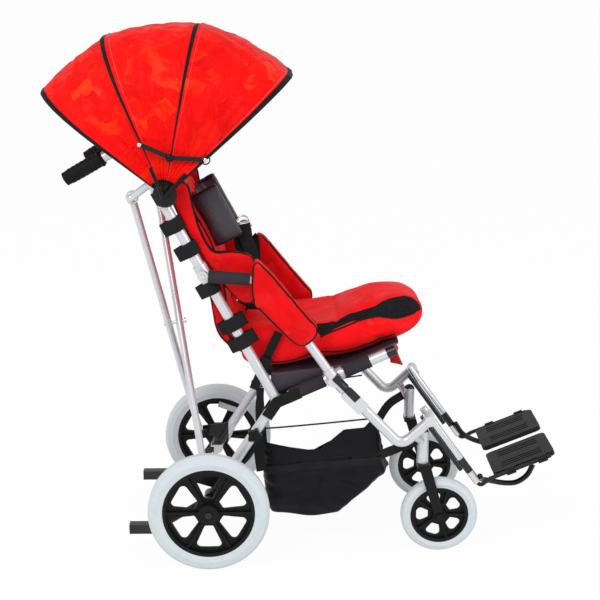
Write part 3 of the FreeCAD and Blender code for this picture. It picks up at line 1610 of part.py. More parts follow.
half = size("basket_half_width")
wall = size("basket_wall")
body = prism(basket_outline(0), -half, half)
raised = [spot(x, -half + wall, z) for x, z in basket_outline(size("basket_rim_height") * 0.5)]
inside = Part.Face(
    Part.makePolygon(raised + raised[:1])
).makeOffset2D(-wall).extrude(across(2 * half - 2 * wall))
hangers = []
rear_top = basket_outline(0)[5]
front_top = basket_outline(0)[4]
for side in sides.values():
    leg_z = rear_top[1] - size("strap_width") * 0.5
    leg_x = (leg_z - axle_height) / (
        size("seat_pivot_height") - axle_height
    ) * size("seat_pivot_forward")
    front_z = front_top[1] - size("strap_width") * 0.6
    front_x = (leg_pivot - spot(0, 0, 0)).x + (leg_pivot.z - front_z) / math.tan(
        math.radians(size("leg_slope"))
    )
    rear_y = frame_half - size("tube_radius") - size("clearance")
    front_y = link_half - size("tube_radius") - size("clearance")
    for from_x, to_x, to_y, middle_z in (
        (rear_top[0] + 2 * wall, leg_x, rear_y, leg_z),
        (front_top[0] - 2 * wall, front_x, front_y, front_z),
    ):
        low_z = middle_z - size("strap_width") / 2
        corners = [
            spot(from_x, side * (half - wall), low_z),
            spot(from_x, side * half, low_z),
            spot(to_x, side * to_y, low_z),
            spot(to_x, side * (to_y - wall), low_z),
        ]
        strap = Part.Face(
            Part.makePolygon(corners + corners[:1])
        ).extrude(Vector(0, 0, size("strap_width")))
        hangers.append(strap)
keep("basket", shaped("basket_shape", body.cut(inside).fuse(hangers).removeSplitter()))

doc.recompute()

# Checks and files

for item in doc.Objects:
    if "Invalid" in item.State or "Error" in item.State:
        raise RuntimeError(f"{item.Label} did not compute: {item.State}")
    if hasattr(item, "Shape") and (item.Shape.isNull() or not item.Shape.isValid()):
        raise RuntimeError(f"{item.Label} has no valid shape")

os.makedirs("parts", exist_ok=True)
for item in exported:
    item.Shape.exportStep(f"parts/{item.Label}.step")
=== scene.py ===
import math
import bmesh
import bpy
import numpy as np
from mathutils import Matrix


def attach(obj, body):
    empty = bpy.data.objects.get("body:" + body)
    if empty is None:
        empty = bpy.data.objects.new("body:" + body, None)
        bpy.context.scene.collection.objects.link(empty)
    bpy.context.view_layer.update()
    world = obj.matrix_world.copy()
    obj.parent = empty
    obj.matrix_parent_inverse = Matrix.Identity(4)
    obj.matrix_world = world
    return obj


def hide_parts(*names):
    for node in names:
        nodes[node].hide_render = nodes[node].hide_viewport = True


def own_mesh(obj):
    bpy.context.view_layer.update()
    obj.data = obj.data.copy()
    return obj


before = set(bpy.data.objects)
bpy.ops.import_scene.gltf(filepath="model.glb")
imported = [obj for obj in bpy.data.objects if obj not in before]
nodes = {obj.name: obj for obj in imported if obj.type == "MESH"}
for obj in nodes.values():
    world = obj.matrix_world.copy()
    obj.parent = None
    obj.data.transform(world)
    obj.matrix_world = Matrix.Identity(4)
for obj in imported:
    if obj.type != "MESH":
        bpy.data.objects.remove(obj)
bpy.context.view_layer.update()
print("frame loaded:", len(nodes), "nodes")

# lines and points of the frame, in metres, in the side view
seatPivot = np.array([-0.0637, 0.0, 0.394])
caneWay = np.array([-0.47562, 0.0, 0.87965])
backSquare = np.array([0.87965, 0.0, 0.47562])
railWay = np.array([0.91425, 0.0, 0.40514])
hoodHub = np.array([-0.3197, 0.0, 0.901])
sideways = np.array([0.0, 1.0, 0.0])
frameHalf = 0.178
linkHalf = 0.210
sides = {"right": -1.0, "left": 1.0}


# meshes

def gridFaces(rows, columns, closeRows=False, closeColumns=False):
    # four corners of each cell of a grid numbered row by row
    index = np.arange(rows * columns).reshape(rows, columns)
    if closeRows:
        index = np.vstack([index, index[:1]])
    if closeColumns:
        index = np.hstack([index, index[:, :1]])
    a, b = index[:-1, :-1], index[:-1, 1:]
    c, d = index[1:, 1:], index[1:, :-1]
    return np.stack([a, b, c, d], axis=-1).reshape(-1, 4)


def newPiece(name, points, faces, material, outward=True):
    mesh = bpy.data.meshes.new(name)
    mesh.from_pydata(np.asarray(points).reshape(-1, 3).tolist(), [], [list(face) for face in faces])
    if outward:
        work = bmesh.new()
        work.from_mesh(mesh)
        bmesh.ops.remove_doubles(work, verts=work.verts, dist=1e-6)
        bmesh.ops.recalc_face_normals(work, faces=work.faces)
        work.to_mesh(mesh)
        work.free()
    mesh.polygons.foreach_set("use_smooth", np.ones(len(mesh.polygons), bool))
    piece = bpy.data.objects.new(name, mesh)
    bpy.context.scene.collection.objects.link(piece)
    if material:
        mesh.materials.append(material)
    return piece


def coordinates(piece):
    values = np.empty(len(piece.data.vertices) * 3)
    piece.data.vertices.foreach_get("co", values)
    return values.reshape(-1, 3)


def moveTo(piece, points):
    piece.data.vertices.foreach_set("co", np.asarray(points, float).ravel())
    piece.data.update()


def addAttribute(piece, name, values):
    piece.data.attributes.new(name, "FLOAT", "POINT").data.foreach_set("value", np.asarray(values, np.float32))


def curveThrough(points, count, closed=False):
    # smooth curve through the points (Catmull-Rom), then spread evenly along its length
    points = np.asarray(points, float)
    if closed:
        guide = np.vstack([points[-1:], points, points[:2]])
        spans = len(points)
    else:
        first, last = 2 * points[0] - points[1], 2 * points[-1] - points[-2]
        guide = np.vstack([first, points, last])
        spans = len(points) - 1
    t = np.linspace(0, 1, 24, endpoint=False)[None, :, None]
    p0, p1, p2, p3 = (guide[k:k + spans][:, None, :] for k in range(4))
    curve = 0.5 * (2 * p1 + (p2 - p0) * t + (2 * p0 - 5 * p1 + 4 * p2 - p3) * t ** 2
                   + (3 * p1 - p0 - 3 * p2 + p3) * t ** 3)
    curve = curve.reshape(-1, points.shape[1])
    curve = np.vstack([curve, curve[:1] if closed else points[-1:]])
    along = np.concatenate([[0], np.cumsum(np.linalg.norm(np.diff(curve, axis=0), axis=1))])
    wanted = np.linspace(0, along[-1], count, endpoint=not closed)
    return np.stack([np.interp(wanted, along, curve[:, k]) for k in range(points.shape[1])], axis=1)


def inSideView(outline, y=0.0):
    # points (x, z) of a side view in millimetres, as metres at one y
    outline = np.asarray(outline, float) / 1000
    return np.stack([outline[:, 0], np.full(len(outline), y), outline[:, 1]], axis=1)


def unit(vectors):
    return vectors / np.maximum(np.linalg.norm(vectors, axis=-1, keepdims=True), 1e-12)


def sweepProfile(name, path, profile, reference, material, closed=False):
    # profile (out, along the reference) carried along a path; the reference is never parallel to it
    path = np.asarray(path, float)
    if closed:
        tangent = unit(np.roll(path, -1, axis=0) - np.roll(path, 1, axis=0))
    else:
        tangent = unit(np.gradient(path, axis=0))
    reference = np.broadcast_to(np.asarray(reference, float), path.shape)
    out = unit(np.cross(tangent, reference))
    up = np.cross(out, tangent)
    rings = path[:, None] + profile[None, :, :1] * out[:, None] + profile[None, :, 1:] * up[:, None]
    count, around = rings.shape[:2]
    faces = gridFaces(count, around, closeRows=closed, closeColumns=True).tolist()
    if not closed:
        faces.append(list(range(around))[::-1])
        faces.append(list(range((count - 1) * around, count * around)))
    return newPiece(name, rings, faces, material)


def roundProfile(radius, steps=10):
    angle = np.linspace(0, 2 * np.pi, steps, endpoint=False)
    return radius * np.stack([np.cos(angle), np.sin(angle)], axis=1)


def flatProfile(thickness, width, steps=20):
    # rounded flat bar: a superellipse
    angle = np.linspace(0, 2 * np.pi, steps, endpoint=False)
    cosine, sine = np.cos(angle), np.sin(angle)
    return np.stack([
        np.sign(cosine) * np.abs(cosine) ** 0.7 * thickness / 2,
        np.sign(sine) * np.abs(sine) ** 0.35 * width / 2,
    ], axis=1)


def turnedPiece(name, base, way, profile, material, steps=48):
    # profile (distance along the axis, radius) turned round the axis
    way = unit(np.asarray(way, float))
    first = unit(np.cross(way, sideways if abs(way[1]) < 0.9 else np.array([1.0, 0.0, 0.0])))
    second = np.cross(way, first)
    angle = np.linspace(0, 2 * np.pi, steps, endpoint=False)
    ring = np.cos(angle)[:, None] * first + np.sin(angle)[:, None] * second
    profile = np.asarray(profile, float)
    points = base + profile[:, 0][:, None, None] * way + np.maximum(profile[:, 1], 1e-5)[:, None, None] * ring
    faces = gridFaces(len(profile), steps, closeColumns=True).tolist()
    faces.append(list(range(steps))[::-1])
    faces.append(list(range((len(profile) - 1) * steps, len(profile) * steps)))
    return newPiece(name, points, faces, material)


def joinPieces(name, pieces):
    bpy.ops.object.select_all(action="DESELECT")
    for piece in pieces:
        piece.select_set(True)
    bpy.context.view_layer.objects.active = pieces[0]
    bpy.ops.object.join()
    pieces[0].name = name
    return pieces[0]


def pillow(name, outline, middle, thickness, edge, crown=0.42, count=96, rings=30):
    # outline: points of the rim in its own plane; the skin goes from the middle out to the rim and
    # back in behind it, as a superellipse of the share of the way out
    rim = curveThrough(outline, count, closed=True)
    middle = np.asarray(middle, float)
    normal = unit(np.cross(rim[1] - middle, rim[count // 4] - middle))
    t = np.linspace(0, np.pi, rings)
    out = np.sin(t) ** edge
    out[0] = out[-1] = 0
    height = np.sign(np.cos(t)) * np.abs(np.cos(t)) ** crown * thickness / 2
    points = middle + (rim - middle)[None] * out[:, None, None] + height[:, None, None] * normal
    faces = gridFaces(rings, count, closeColumns=True)
    return newPiece(name, points, faces, finishes["backRed"])


def noiseField(points, size, seed, waves=14):
    # smooth unevenness: a sum of sine waves in seeded directions, about one size long each
    chance = np.random.default_rng(seed)
    ways = unit(chance.normal(size=(waves, 3)))
    lengths = size * chance.uniform(0.6, 1.7, waves)
    starts = chance.uniform(0, 2 * np.pi, waves)
    field = np.sin(points @ (ways / lengths[:, None]).T * 2 * np.pi + starts)
    return field.sum(axis=-1) / math.sqrt(waves)


def skinNormals(piece):
    values = np.empty(len(piece.data.vertices) * 3)
    piece.data.vertices.foreach_get("normal", values)
    return values.reshape(-1, 3)


def nearestOn(piece, path, lift=0.0):
    # each point of the path goes to the nearest point of the skin
    skin, normals = coordinates(piece), skinNormals(piece)
    apart = ((path[:, None] - skin[None]) ** 2).sum(axis=-1)
    found = apart.argmin(axis=1)
    return skin[found] + normals[found] * lift


def smoothLine(path, rounds, closed=True):
    for step in range(rounds):
        if closed:
            path = (np.roll(path, 1, axis=0) + 2 * path + np.roll(path, -1, axis=0)) / 4
        else:
            path[1:-1] = (path[:-2] + 2 * path[1:-1] + path[2:]) / 4
    return path


def applyModifiers(piece):
    evaluated = piece.evaluated_get(bpy.context.evaluated_depsgraph_get())
    mesh = bpy.data.meshes.new_from_object(evaluated)
    piece.modifiers.clear()
    piece.data = mesh
    mesh.polygons.foreach_set("use_smooth", np.ones(len(mesh.polygons), bool))


def giveWall(piece, thickness):
    # half of the thickness goes to each side of the sheet
    wall = piece.modifiers.new("wall", "SOLIDIFY")
    wall.thickness, wall.offset = thickness, 0.0
    applyModifiers(piece)


def puff(piece, values):
    # remesh evenly, blow the cover up with a little pressure, and hold every point near its start
    remesh = piece.modifiers.new("even", "REMESH")
    remesh.mode = "VOXEL"
    remesh.voxel_size = values["voxel"]
    applyModifiers(piece)
    start = coordinates(piece)
    cloth = piece.modifiers.new("cover", "CLOTH")
    settings = cloth.settings
    settings.quality = 4
    settings.mass = 0.3
    settings.use_pressure = True
    settings.uniform_pressure_force = values["pressure"]
    settings.tension_stiffness = 14
    settings.compression_stiffness = 4
    settings.bending_stiffness = 0.4
    settings.shrink_min = values.get("shrink", -0.06)
    settings.effector_weights.gravity = 0
    cloth.collision_settings.use_collision = False
    scene = bpy.context.scene
    scene.frame_start, scene.frame_end = 1, 20
    for step in range(1, values["frames"] + 1):
        scene.frame_set(step)
    evaluated = piece.evaluated_get(bpy.context.evaluated_depsgraph_get())
    moved = coordinates(evaluated) - start
    piece.modifiers.clear()
    scene.frame_set(1)
    length = np.linalg.norm(moved, axis=1, keepdims=True)
    cap = values["cap"]
    moveTo(piece, start + moved / np.maximum(length, 1e-9) * cap * np.tanh(length / cap))
    finer = piece.modifiers.new("finer", "SUBSURF")
    finer.levels = finer.render_levels = 1
    applyModifiers(piece)
    print("soft piece:", piece.name, len(piece.data.vertices), "points")


# finishes

def addNode(tree, kind, inputs=(), **settings):
    node = tree.nodes.new(kind)
    for key, value in settings.items():
        setattr(node, key, value)
    for key, value in dict(inputs).items():
        if isinstance(value, bpy.types.NodeSocket):
            tree.links.new(value, node.inputs[key])
        else:
            node.inputs[key].default_value = value
    return node


def rgb(red, green, blue):
    return (red, green, blue, 1.0)


def newGroup(name, inputs):
    # a group that gives colour, roughness and height
    group = bpy.data.node_groups.new(name, "ShaderNodeTree")
    for label, value in inputs.items():
        kind = "NodeSocketFloat" if isinstance(value, float) else "NodeSocketColor"
        group.interface.new_socket(label, in_out="INPUT", socket_type=kind).default_value = value
    for label, kind in (("Colour", "Color"), ("Roughness", "Float"), ("Height", "Float")):
        group.interface.new_socket(label, in_out="OUTPUT", socket_type="NodeSocket" + kind)
    given, put = group.nodes.new("NodeGroupInput"), group.nodes.new("NodeGroupOutput")
    place = addNode(group, "ShaderNodeTexCoord").outputs["Object"]
    return group, given.outputs, put.inputs, place


def ramp(tree, source, low, high, fromLow, fromHigh):
    return addNode(tree, "ShaderNodeMapRange", {
        "Value": source, "From Min": fromLow, "From Max": fromHigh, "To Min": low, "To Max": high,
    }, interpolation_type="SMOOTHSTEP").outputs["Result"]


def noise(tree, place, scale, detail=2.0, roughness=0.5, distortion=0.0):
    return addNode(tree, "ShaderNodeTexNoise", {
        "Vector": place, "Scale": scale, "Detail": detail, "Roughness": roughness, "Distortion": distortion,
    }).outputs[0]


def mathNode(tree, operation, first, second=0.5):
    return addNode(tree, "ShaderNodeMath", {0: first, 1: second}, operation=operation).outputs[0]


def mixColour(tree, share, first, second):
    return addNode(tree, "ShaderNodeMix", {0: share, 6: first, 7: second}, data_type="RGBA").outputs[2]


def putRoughness(tree, source, given, put):
    # from Smooth to Rough with the source
    rough = addNode(tree, "ShaderNodeMapRange", {
        "Value": source, "From Min": 0.3, "From Max": 0.7, "To Min": given["Smooth"], "To Max": given["Rough"],
    })
    tree.links.new(rough.outputs["Result"], put["Roughness"])


def clothGroup():
    # the colour is painted darker towards Shade in the rucks, a painted shade, and some facets get a painted highlight
    # in Glint Colour; the height sums weave, rucks and creases
    group, given, put, place = newGroup("clothSurface", {
        "Colour": rgb(0.5, 0.02, 0.02), "Shade": rgb(0.2, 0.0, 0.0), "Weave Scale": 700.0, "Ruck Scale": 30.0,
        "Ruck Height": 0.5, "Weave Height": 0.05, "Smooth": 0.45, "Rough": 0.7,
        "Glint": 0.0, "Glint Colour": rgb(1.0, 0.07, 0.02), "Glint Scale": 30.0,
    })
    weave = addNode(group, "ShaderNodeTexVoronoi", {"Vector": place, "Scale": given["Weave Scale"]},
                    distance="CHEBYCHEV").outputs["Distance"]
    # creases run in coordinates that are stretched and shifted by a broad noise
    bend = addNode(group, "ShaderNodeTexNoise", {"Vector": place, "Scale": 9.0, "Detail": 2.0}).outputs["Color"]
    shift = addNode(group, "ShaderNodeVectorMath", {0: bend, "Scale": 0.09}, operation="SCALE").outputs[0]
    bent = addNode(group, "ShaderNodeVectorMath", {0: place, 1: bend, 2: shift}, operation="MULTIPLY_ADD").outputs[0]
    creases = addNode(group, "ShaderNodeTexNoise", {
        "Vector": bent, "Scale": given["Ruck Scale"], "Detail": 5.0, "Roughness": 0.55,
    }, noise_type="RIDGED_MULTIFRACTAL", normalize=True).outputs[0]
    rucks = noise(group, place, given["Ruck Scale"], 3.0, distortion=0.6)
    broad = noise(group, place, 7.0)
    folds = mathNode(group, "MULTIPLY", mathNode(group, "ADD", creases, rucks), given["Ruck Height"])
    threads = mathNode(group, "MULTIPLY", weave, given["Weave Height"])
    group.links.new(mathNode(group, "ADD", folds, threads), put["Height"])
    # painted shade: the colour goes towards Shade where the rucks lie deep
    deep = ramp(group, rucks, 0.0, 1.0, 0.35, 0.65)
    depth = mathNode(group, "MULTIPLY", deep, ramp(group, broad, 0.35, 1.0, 0.3, 0.7))
    lit = mathNode(group, "SUBTRACT", 1.0, mathNode(group, "MULTIPLY", depth, 0.42))
    shaded = mixColour(group, lit, given["Shade"], given["Colour"])
    # painted highlight: some cells, faded out in the rucks, go towards Glint Colour
    cells = addNode(group, "ShaderNodeTexVoronoi", {"Vector": place, "Scale": given["Glint Scale"]}).outputs["Color"]
    facets = ramp(group, addNode(group, "ShaderNodeSeparateColor", {"Color": cells}).outputs[0], 0.0, 1.0, 0.5, 1.0)
    faded = ramp(group, rucks, 0.0, 1.0, 0.4, 0.62)
    glint = mathNode(group, "MULTIPLY", mathNode(group, "MULTIPLY", facets, faded), given["Glint"])
    group.links.new(mixColour(group, glint, shaded, given["Glint Colour"]), put["Colour"])
    putRoughness(group, broad, given, put)
    return group


def mouldedGroup():
    # fine grain, faint rubbed streaks and settled dust on faces that look up
    group, given, put, place = newGroup("mouldedSurface", {
        "Colour": rgb(0.02, 0.02, 0.02), "Rubbed": rgb(0.08, 0.08, 0.08), "Grain Scale": 900.0, "Grain Height": 0.2,
        "Smooth": 0.35, "Rough": 0.6, "Wear": 0.35,
    })
    grain = noise(group, place, given["Grain Scale"])
    streaks = noise(group, place, 38.0, 6.0, 0.7, 0.8)
    normal = addNode(group, "ShaderNodeNewGeometry").outputs["Normal"]
    upward = addNode(group, "ShaderNodeSeparateXYZ", {"Vector": normal})
    dust = mathNode(group, "MULTIPLY", ramp(group, upward.outputs["Z"], 0.0, 0.35, 0.2, 1.0), streaks)
    rubbed = mathNode(group, "ADD", ramp(group, streaks, 0.0, 1.0, 0.5, 0.78), dust)
    share = mathNode(group, "MULTIPLY", rubbed, given["Wear"])
    group.links.new(mixColour(group, share, given["Colour"], given["Rubbed"]), put["Colour"])
    putRoughness(group, streaks, given, put)
    group.links.new(mathNode(group, "MULTIPLY", grain, given["Grain Height"]), put["Height"])
    return group


def metalGroup():
    # orange peel in the paint, faint flakes and handling marks
    group, given, put, place = newGroup("metalSurface", {
        "Colour": rgb(0.5, 0.5, 0.52), "Mark": rgb(0.3, 0.3, 0.3), "Smooth": 0.25, "Rough": 0.4, "Peel": 0.1,
    })
    flakes = addNode(group, "ShaderNodeTexVoronoi", {"Vector": place, "Scale": 1400.0}).outputs["Color"]
    sparkle = addNode(group, "ShaderNodeSeparateColor", {"Color": flakes}).outputs[0]
    marks = noise(group, place, 26.0, 7.0, 0.75, 1.2)
    peel = noise(group, place, 240.0, 1.0)
    marked = mixColour(group, ramp(group, marks, 0.0, 0.5, 0.5, 0.8), given["Colour"], given["Mark"])
    lift = addNode(group, "ShaderNodeMath", {0: sparkle, 1: 0.06, 2: 0.97}, operation="MULTIPLY_ADD").outputs[0]
    bright = addNode(group, "ShaderNodeVectorMath", {0: marked, "Scale": lift}, operation="SCALE").outputs[0]
    group.links.new(bright, put["Colour"])
    putRoughness(group, marks, given, put)
    group.links.new(mathNode(group, "MULTIPLY", peel, given["Peel"]), put["Height"])
    return group


# each kind of surface: its group and the order in which a finish gives its values
kinds = {
    "cloth": (clothGroup(), ("Colour", "Shade", "Weave Scale", "Ruck Scale", "Ruck Height", "Weave Height", "Smooth",
                             "Rough", "Glint", "Glint Colour", "Glint Scale")),
    "moulded": (mouldedGroup(), ("Colour", "Rubbed", "Smooth", "Rough", "Grain Scale", "Grain Height", "Wear")),
    "metal": (metalGroup(), ("Colour", "Mark", "Smooth", "Rough", "Peel")),
}


def boxMask(tree, boxes):
    # one inside any of the boxes: a middle, half sizes and the slope of the first of them in degrees;
    # both sides of the part count as one
    place = addNode(tree, "ShaderNodeTexCoord").outputs["Object"]
    inside = None
    for middle, half, slope in boxes:
        turned = addNode(tree, "ShaderNodeVectorRotate", {
            "Vector": place, "Center": (middle[0], 0.0, middle[2]), "Angle": math.radians(slope),
        }, rotation_type="Y_AXIS")
        axes = addNode(tree, "ShaderNodeSeparateXYZ", {"Vector": turned.outputs["Vector"]}).outputs
        spots = [axes["X"], mathNode(tree, "ABSOLUTE", axes["Y"]), axes["Z"]]
        one = None
        for spot, centre, reach in zip(spots, middle, half):
            near = addNode(tree, "ShaderNodeMath", {0: spot, 1: centre, 2: reach}, operation="COMPARE").outputs[0]
            one = near if one is None else mathNode(tree, "MULTIPLY", one, near)
        inside = one if inside is None else mathNode(tree, "MAXIMUM", inside, one)
    return inside


def finish(name, kind, values, bumpDistance, shader, second=None, blackBoxes=()):
    # second: (attribute, other colours) paints a sewn-in cloth where the attribute is above zero
    # blackBoxes: where moulded black covers sit on a piece of this finish
    material = bpy.data.materials.new(name)
    material.use_nodes = True
    tree = material.node_tree
    principled = tree.nodes["Principled BSDF"]
    for key, value in shader.items():
        principled.inputs[key].default_value = value
    group, keys = kinds[kind]
    surface = addNode(tree, "ShaderNodeGroup", {}, node_tree=group)
    for key, value in zip(keys, values):
        surface.inputs[key].default_value = value
    colour = surface.outputs["Colour"]
    if second:
        attribute, base, shade = second
        field = addNode(tree, "ShaderNodeAttribute", {}, attribute_name=attribute).outputs["Fac"]
        edge = addNode(tree, "ShaderNodeMapRange", {"Value": field, "From Min": -0.0006, "From Max": 0.0006})
        place = addNode(tree, "ShaderNodeTexCoord").outputs["Object"]
        holes = addNode(tree, "ShaderNodeTexVoronoi", {"Vector": place, "Scale": 330.0}).outputs["Distance"]
        mesh = mixColour(tree, ramp(tree, holes, 0.0, 1.0, 0.25, 0.6), shade, base)
        colour = mixColour(tree, edge.outputs["Result"], colour, mesh)
    if blackBoxes:
        covered = boxMask(tree, blackBoxes)
        colour = mixColour(tree, covered, colour, rgb(0.005, 0.005, 0.006))
        metal = mathNode(tree, "SUBTRACT", 1.0, covered)
        for key in ("Metallic", "Coat Weight"):
            tree.links.new(mathNode(tree, "MULTIPLY", metal, shader[key]), principled.inputs[key])
    tree.links.new(colour, principled.inputs["Base Color"])
    tree.links.new(surface.outputs["Roughness"], principled.inputs["Roughness"])
    bump = addNode(tree, "ShaderNodeBump", {
        "Strength": 1.0, "Distance": bumpDistance, "Height": surface.outputs["Height"],
    })
    tree.links.new(bump.outputs["Normal"], principled.inputs["Normal"])
    return material


# moulded covers on the painted tubes: tip levers, arm clamps, rail ends, caps of the caster tubes, and the
# ends and lugs of the rear axles
silverBlacks = [
    ((-0.345, 0.178, 0.100), (0.110, 0.020, 0.050), 0), ((0.109, 0.221, 0.446), (0.040, 0.014, 0.020), -46),
    ((0.221, 0.178, 0.520), (0.022, 0.020, 0.030), 23.9), ((0.295, 0.171, 0.330), (0.030, 0.020, 0.018), 0),
    ((-0.228, 0.275, 0.146), (0.020, 0.045, 0.020), 0), ((-0.255, 0.190, 0.190), (0.060, 0.045, 0.035), 0),
]
# black inner rail and slide lock on each chromed leg rest tube
hangerBlacks = [
    ((0.3371, 0.171, 0.2819), (0.088, 0.020, 0.0056), -54.4), ((0.3980, 0.171, 0.2230), (0.021, 0.020, 0.013), -54.4),
]
redShader = {"Sheen Weight": 0.02, "Sheen Roughness": 0.5, "Specular IOR Level": 0.08}
# painted highlight on the red cloths: its share and colour
redGlint = (0.24, rgb(0.95, 0.06, 0.05))
plated = (rgb(0.72, 0.73, 0.75), rgb(0.5, 0.5, 0.52), 0.14, 0.26, 0.05)
# name, kind, values in the order of that kind, depth of the bumps, sockets of the shader
finishRows = {
    "seatRed": ("seat red cloth", "cloth", (
        rgb(0.94, 0.005, 0.008), rgb(0.5, 0.002, 0.003), 620.0, 21.0, 0.95, 0.10, 0.5, 0.74,
        *redGlint), 0.0022, redShader,
        ("band", rgb(0.012, 0.012, 0.014), rgb(0.003, 0.003, 0.003))),
    "backRed": ("back red cloth", "cloth", (
        rgb(0.80, 0.004, 0.006), rgb(0.34, 0.001, 0.002), 620.0, 20.0, 0.95, 0.10, 0.5, 0.74,
        *redGlint), 0.0022, redShader),
    # the hood nylon gets a stronger painted highlight, in orange
    "hoodRed": ("hood nylon", "cloth", (
        rgb(0.92, 0.004, 0.003), rgb(0.34, 0.001, 0.001), 620.0, 24.0, 1.5, 0.05, 0.36, 0.55,
        0.7, rgb(0.98, 0.055, 0.006), 26.0), 0.0022, {"Sheen Weight": 0.0, "Specular IOR Level": 0.07}),
    "hoodSeam": ("hood hem", "cloth", (
        rgb(0.80, 0.05, 0.06), rgb(0.5, 0.01, 0.02), 620.0, 90.0, 0.95, 0.10, 0.5, 0.74, *redGlint),
        0.001, {"Specular IOR Level": 0.4}),
    "binding": ("black binding tape", "cloth", (
        rgb(0.006, 0.006, 0.007), rgb(0.002, 0.002, 0.002), 520.0, 60.0, 0.3, 0.4, 0.5, 0.75),
        0.001, {"Specular IOR Level": 0.2}),
    "webbing": ("woven webbing", "cloth", (
        rgb(0.008, 0.008, 0.009), rgb(0.002, 0.002, 0.003), 420.0, 45.0, 0.25, 0.7, 0.5, 0.8),
        0.001, {"Specular IOR Level": 0.2}),
    "headVinyl": ("charcoal vinyl", "cloth", (
        rgb(0.036, 0.028, 0.040), rgb(0.012, 0.009, 0.013), 380.0, 22.0, 0.6, 0.22, 0.32, 0.5),
        0.0024, {"Coat Weight": 0.12, "Coat Roughness": 0.35}),
    "slingVinyl": ("dark sling vinyl", "cloth", (
        rgb(0.030, 0.020, 0.034), rgb(0.008, 0.005, 0.010), 420.0, 16.0, 0.5, 0.15, 0.35, 0.55),
        0.002, {"Coat Weight": 0.1, "Coat Roughness": 0.4}),
    "basketNylon": ("basket nylon", "cloth", (
        rgb(0.007, 0.007, 0.009), rgb(0.002, 0.002, 0.003), 360.0, 26.0, 0.9, 0.12, 0.28, 0.5),
        0.0026, {"Specular IOR Level": 0.13}),
    "blackPlastic": ("black moulded plastic", "moulded", (
        rgb(0.004, 0.004, 0.005), rgb(0.016, 0.016, 0.018), 0.34, 0.5), 0.0004, {"Specular IOR Level": 0.2}),
    "rimPlastic": ("wheel plastic", "moulded", (
        rgb(0.004, 0.004, 0.005), rgb(0.018, 0.018, 0.019), 0.38, 0.55, 900.0, 0.2, 0.4),
        0.0004, {"Specular IOR Level": 0.2}),
    "rubber": ("black rubber", "moulded", (
        rgb(0.004, 0.004, 0.004), rgb(0.014, 0.014, 0.014), 0.5, 0.75, 600.0, 0.5),
        0.0005, {"Specular IOR Level": 0.15}),
    "foam": ("black foam", "moulded", (
        rgb(0.034, 0.030, 0.038), rgb(0.055, 0.050, 0.060), 0.75, 0.95, 420.0, 1.0, 0.2),
        0.0008, {"Specular IOR Level": 0.12}),
    "tyre": ("blue-grey tyre", "moulded", (
        rgb(0.62, 0.68, 0.71), rgb(0.46, 0.51, 0.55), 0.5, 0.72, 500.0, 0.4, 0.45),
        0.0006, {"Specular IOR Level": 0.35}),
    "silverPaint": ("silver paint", "metal", (
        rgb(0.66, 0.67, 0.71), rgb(0.52, 0.53, 0.56), 0.26, 0.36, 0.06), 0.0003,
        {"Metallic": 0.45, "Coat Weight": 0.3, "Coat Roughness": 0.15}, None, silverBlacks),
    "brightSteel": ("bright plated steel", "metal", plated, 0.0002, {"Metallic": 1.0}),
    "hangerSteel": ("chromed leg rest tube", "metal", plated, 0.0002, {"Metallic": 1.0, "Coat Weight": 0.0}, None,
                    hangerBlacks),
    "blackSteel": ("black painted steel", "metal", (
        rgb(0.005, 0.005, 0.006), rgb(0.014, 0.014, 0.014), 0.3, 0.42, 0.3), 0.0003,
        {"Metallic": 0.1, "Coat Weight": 0.1, "Coat Roughness": 0.2, "Specular IOR Level": 0.3}),
}
finishes = {key: finish(*row) for key, row in finishRows.items()}

nodeFinishes = [
    ("tyre", "tyre"), ("rim", "rimPlastic"), ("grip", "rubber"), ("arm_foam", "foam"), ("caster_fork", "blackPlastic"),
    ("pivot_bracket", "blackPlastic"), ("foot_plate", "blackPlastic"), ("foot_slider", "blackSteel"),
    ("clamp_knob", "blackPlastic"), ("brace_fork", "blackPlastic"), ("wheel_lock", "brightSteel"),
    ("hanger", "hangerSteel"), ("hood_clamp", "blackPlastic"), ("hood_", "blackSteel"),
    ("seat_cushion", "seatRed"), ("sling", "slingVinyl"), ("basket", "basketNylon"), ("back_rest", "backRed"),
    ("head_support", "headVinyl"), ("side_guard", "backRed"),
]
for name, node in nodes.items():
    chosen = next((value for key, value in nodeFinishes if key in name), "silverPaint")
    if not node.material_slots:
        node.data.materials.append(finishes[chosen])
    for place in node.material_slots:
        place.material = finishes[chosen]
print("finishes made:", len(finishes))


# soft pieces held towards the right side frame: (where they are held, share left)
seatFold = (-0.1655, 0.305)
hoodFold = (-0.200, 0.425)


def settle(piece, body, fold=None, stands=()):
    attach(piece, body)
    if stands:
        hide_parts(*stands)
    if fold:
        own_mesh(piece)
    return piece


def settleWithPiping(piece, trims, pipingName, body, fold=None, stands=()):
    piping = joinPieces(pipingName, trims)
    settle(piece, body, fold, stands)
    settle(piping, body, fold)


loft = {"columns": 49, "roundness": 9.0, "blend": 2.4, "endShrink": 0.02}


def acrossLoft(name, middleLine, edgeLine, half, place, material):
    # side outlines carried across the width; the middle one turns into the edge one, and both ends close round
    columns, around = loft["columns"], len(middleLine)
    v = np.sin(np.linspace(-np.pi / 2, np.pi / 2, columns))[:, None, None]
    share = np.abs(v) ** loft["blend"]
    outline = middleLine[None] * (1 - share) + edgeLine[None] * share
    centre = outline.mean(axis=1, keepdims=True)
    shrink = np.maximum(1 - np.abs(v) ** loft["roundness"], 0) ** (1 / 2.6)
    shrink = np.where(np.abs(v) > 0.9999, loft["endShrink"], shrink)
    outline = centre + (outline - centre) * shrink
    points = place(outline[..., 0], outline[..., 1], half * v[..., 0])
    faces = gridFaces(columns, around, closeColumns=True).tolist()
    faces.append(list(range(around)))
    faces.append(list(range((columns - 1) * around, columns * around))[::-1])
    return newPiece(name, points, faces, material)


def sideViewPlace(x, z, y):
    return np.stack([x, np.broadcast_to(y, x.shape), z], axis=-1)


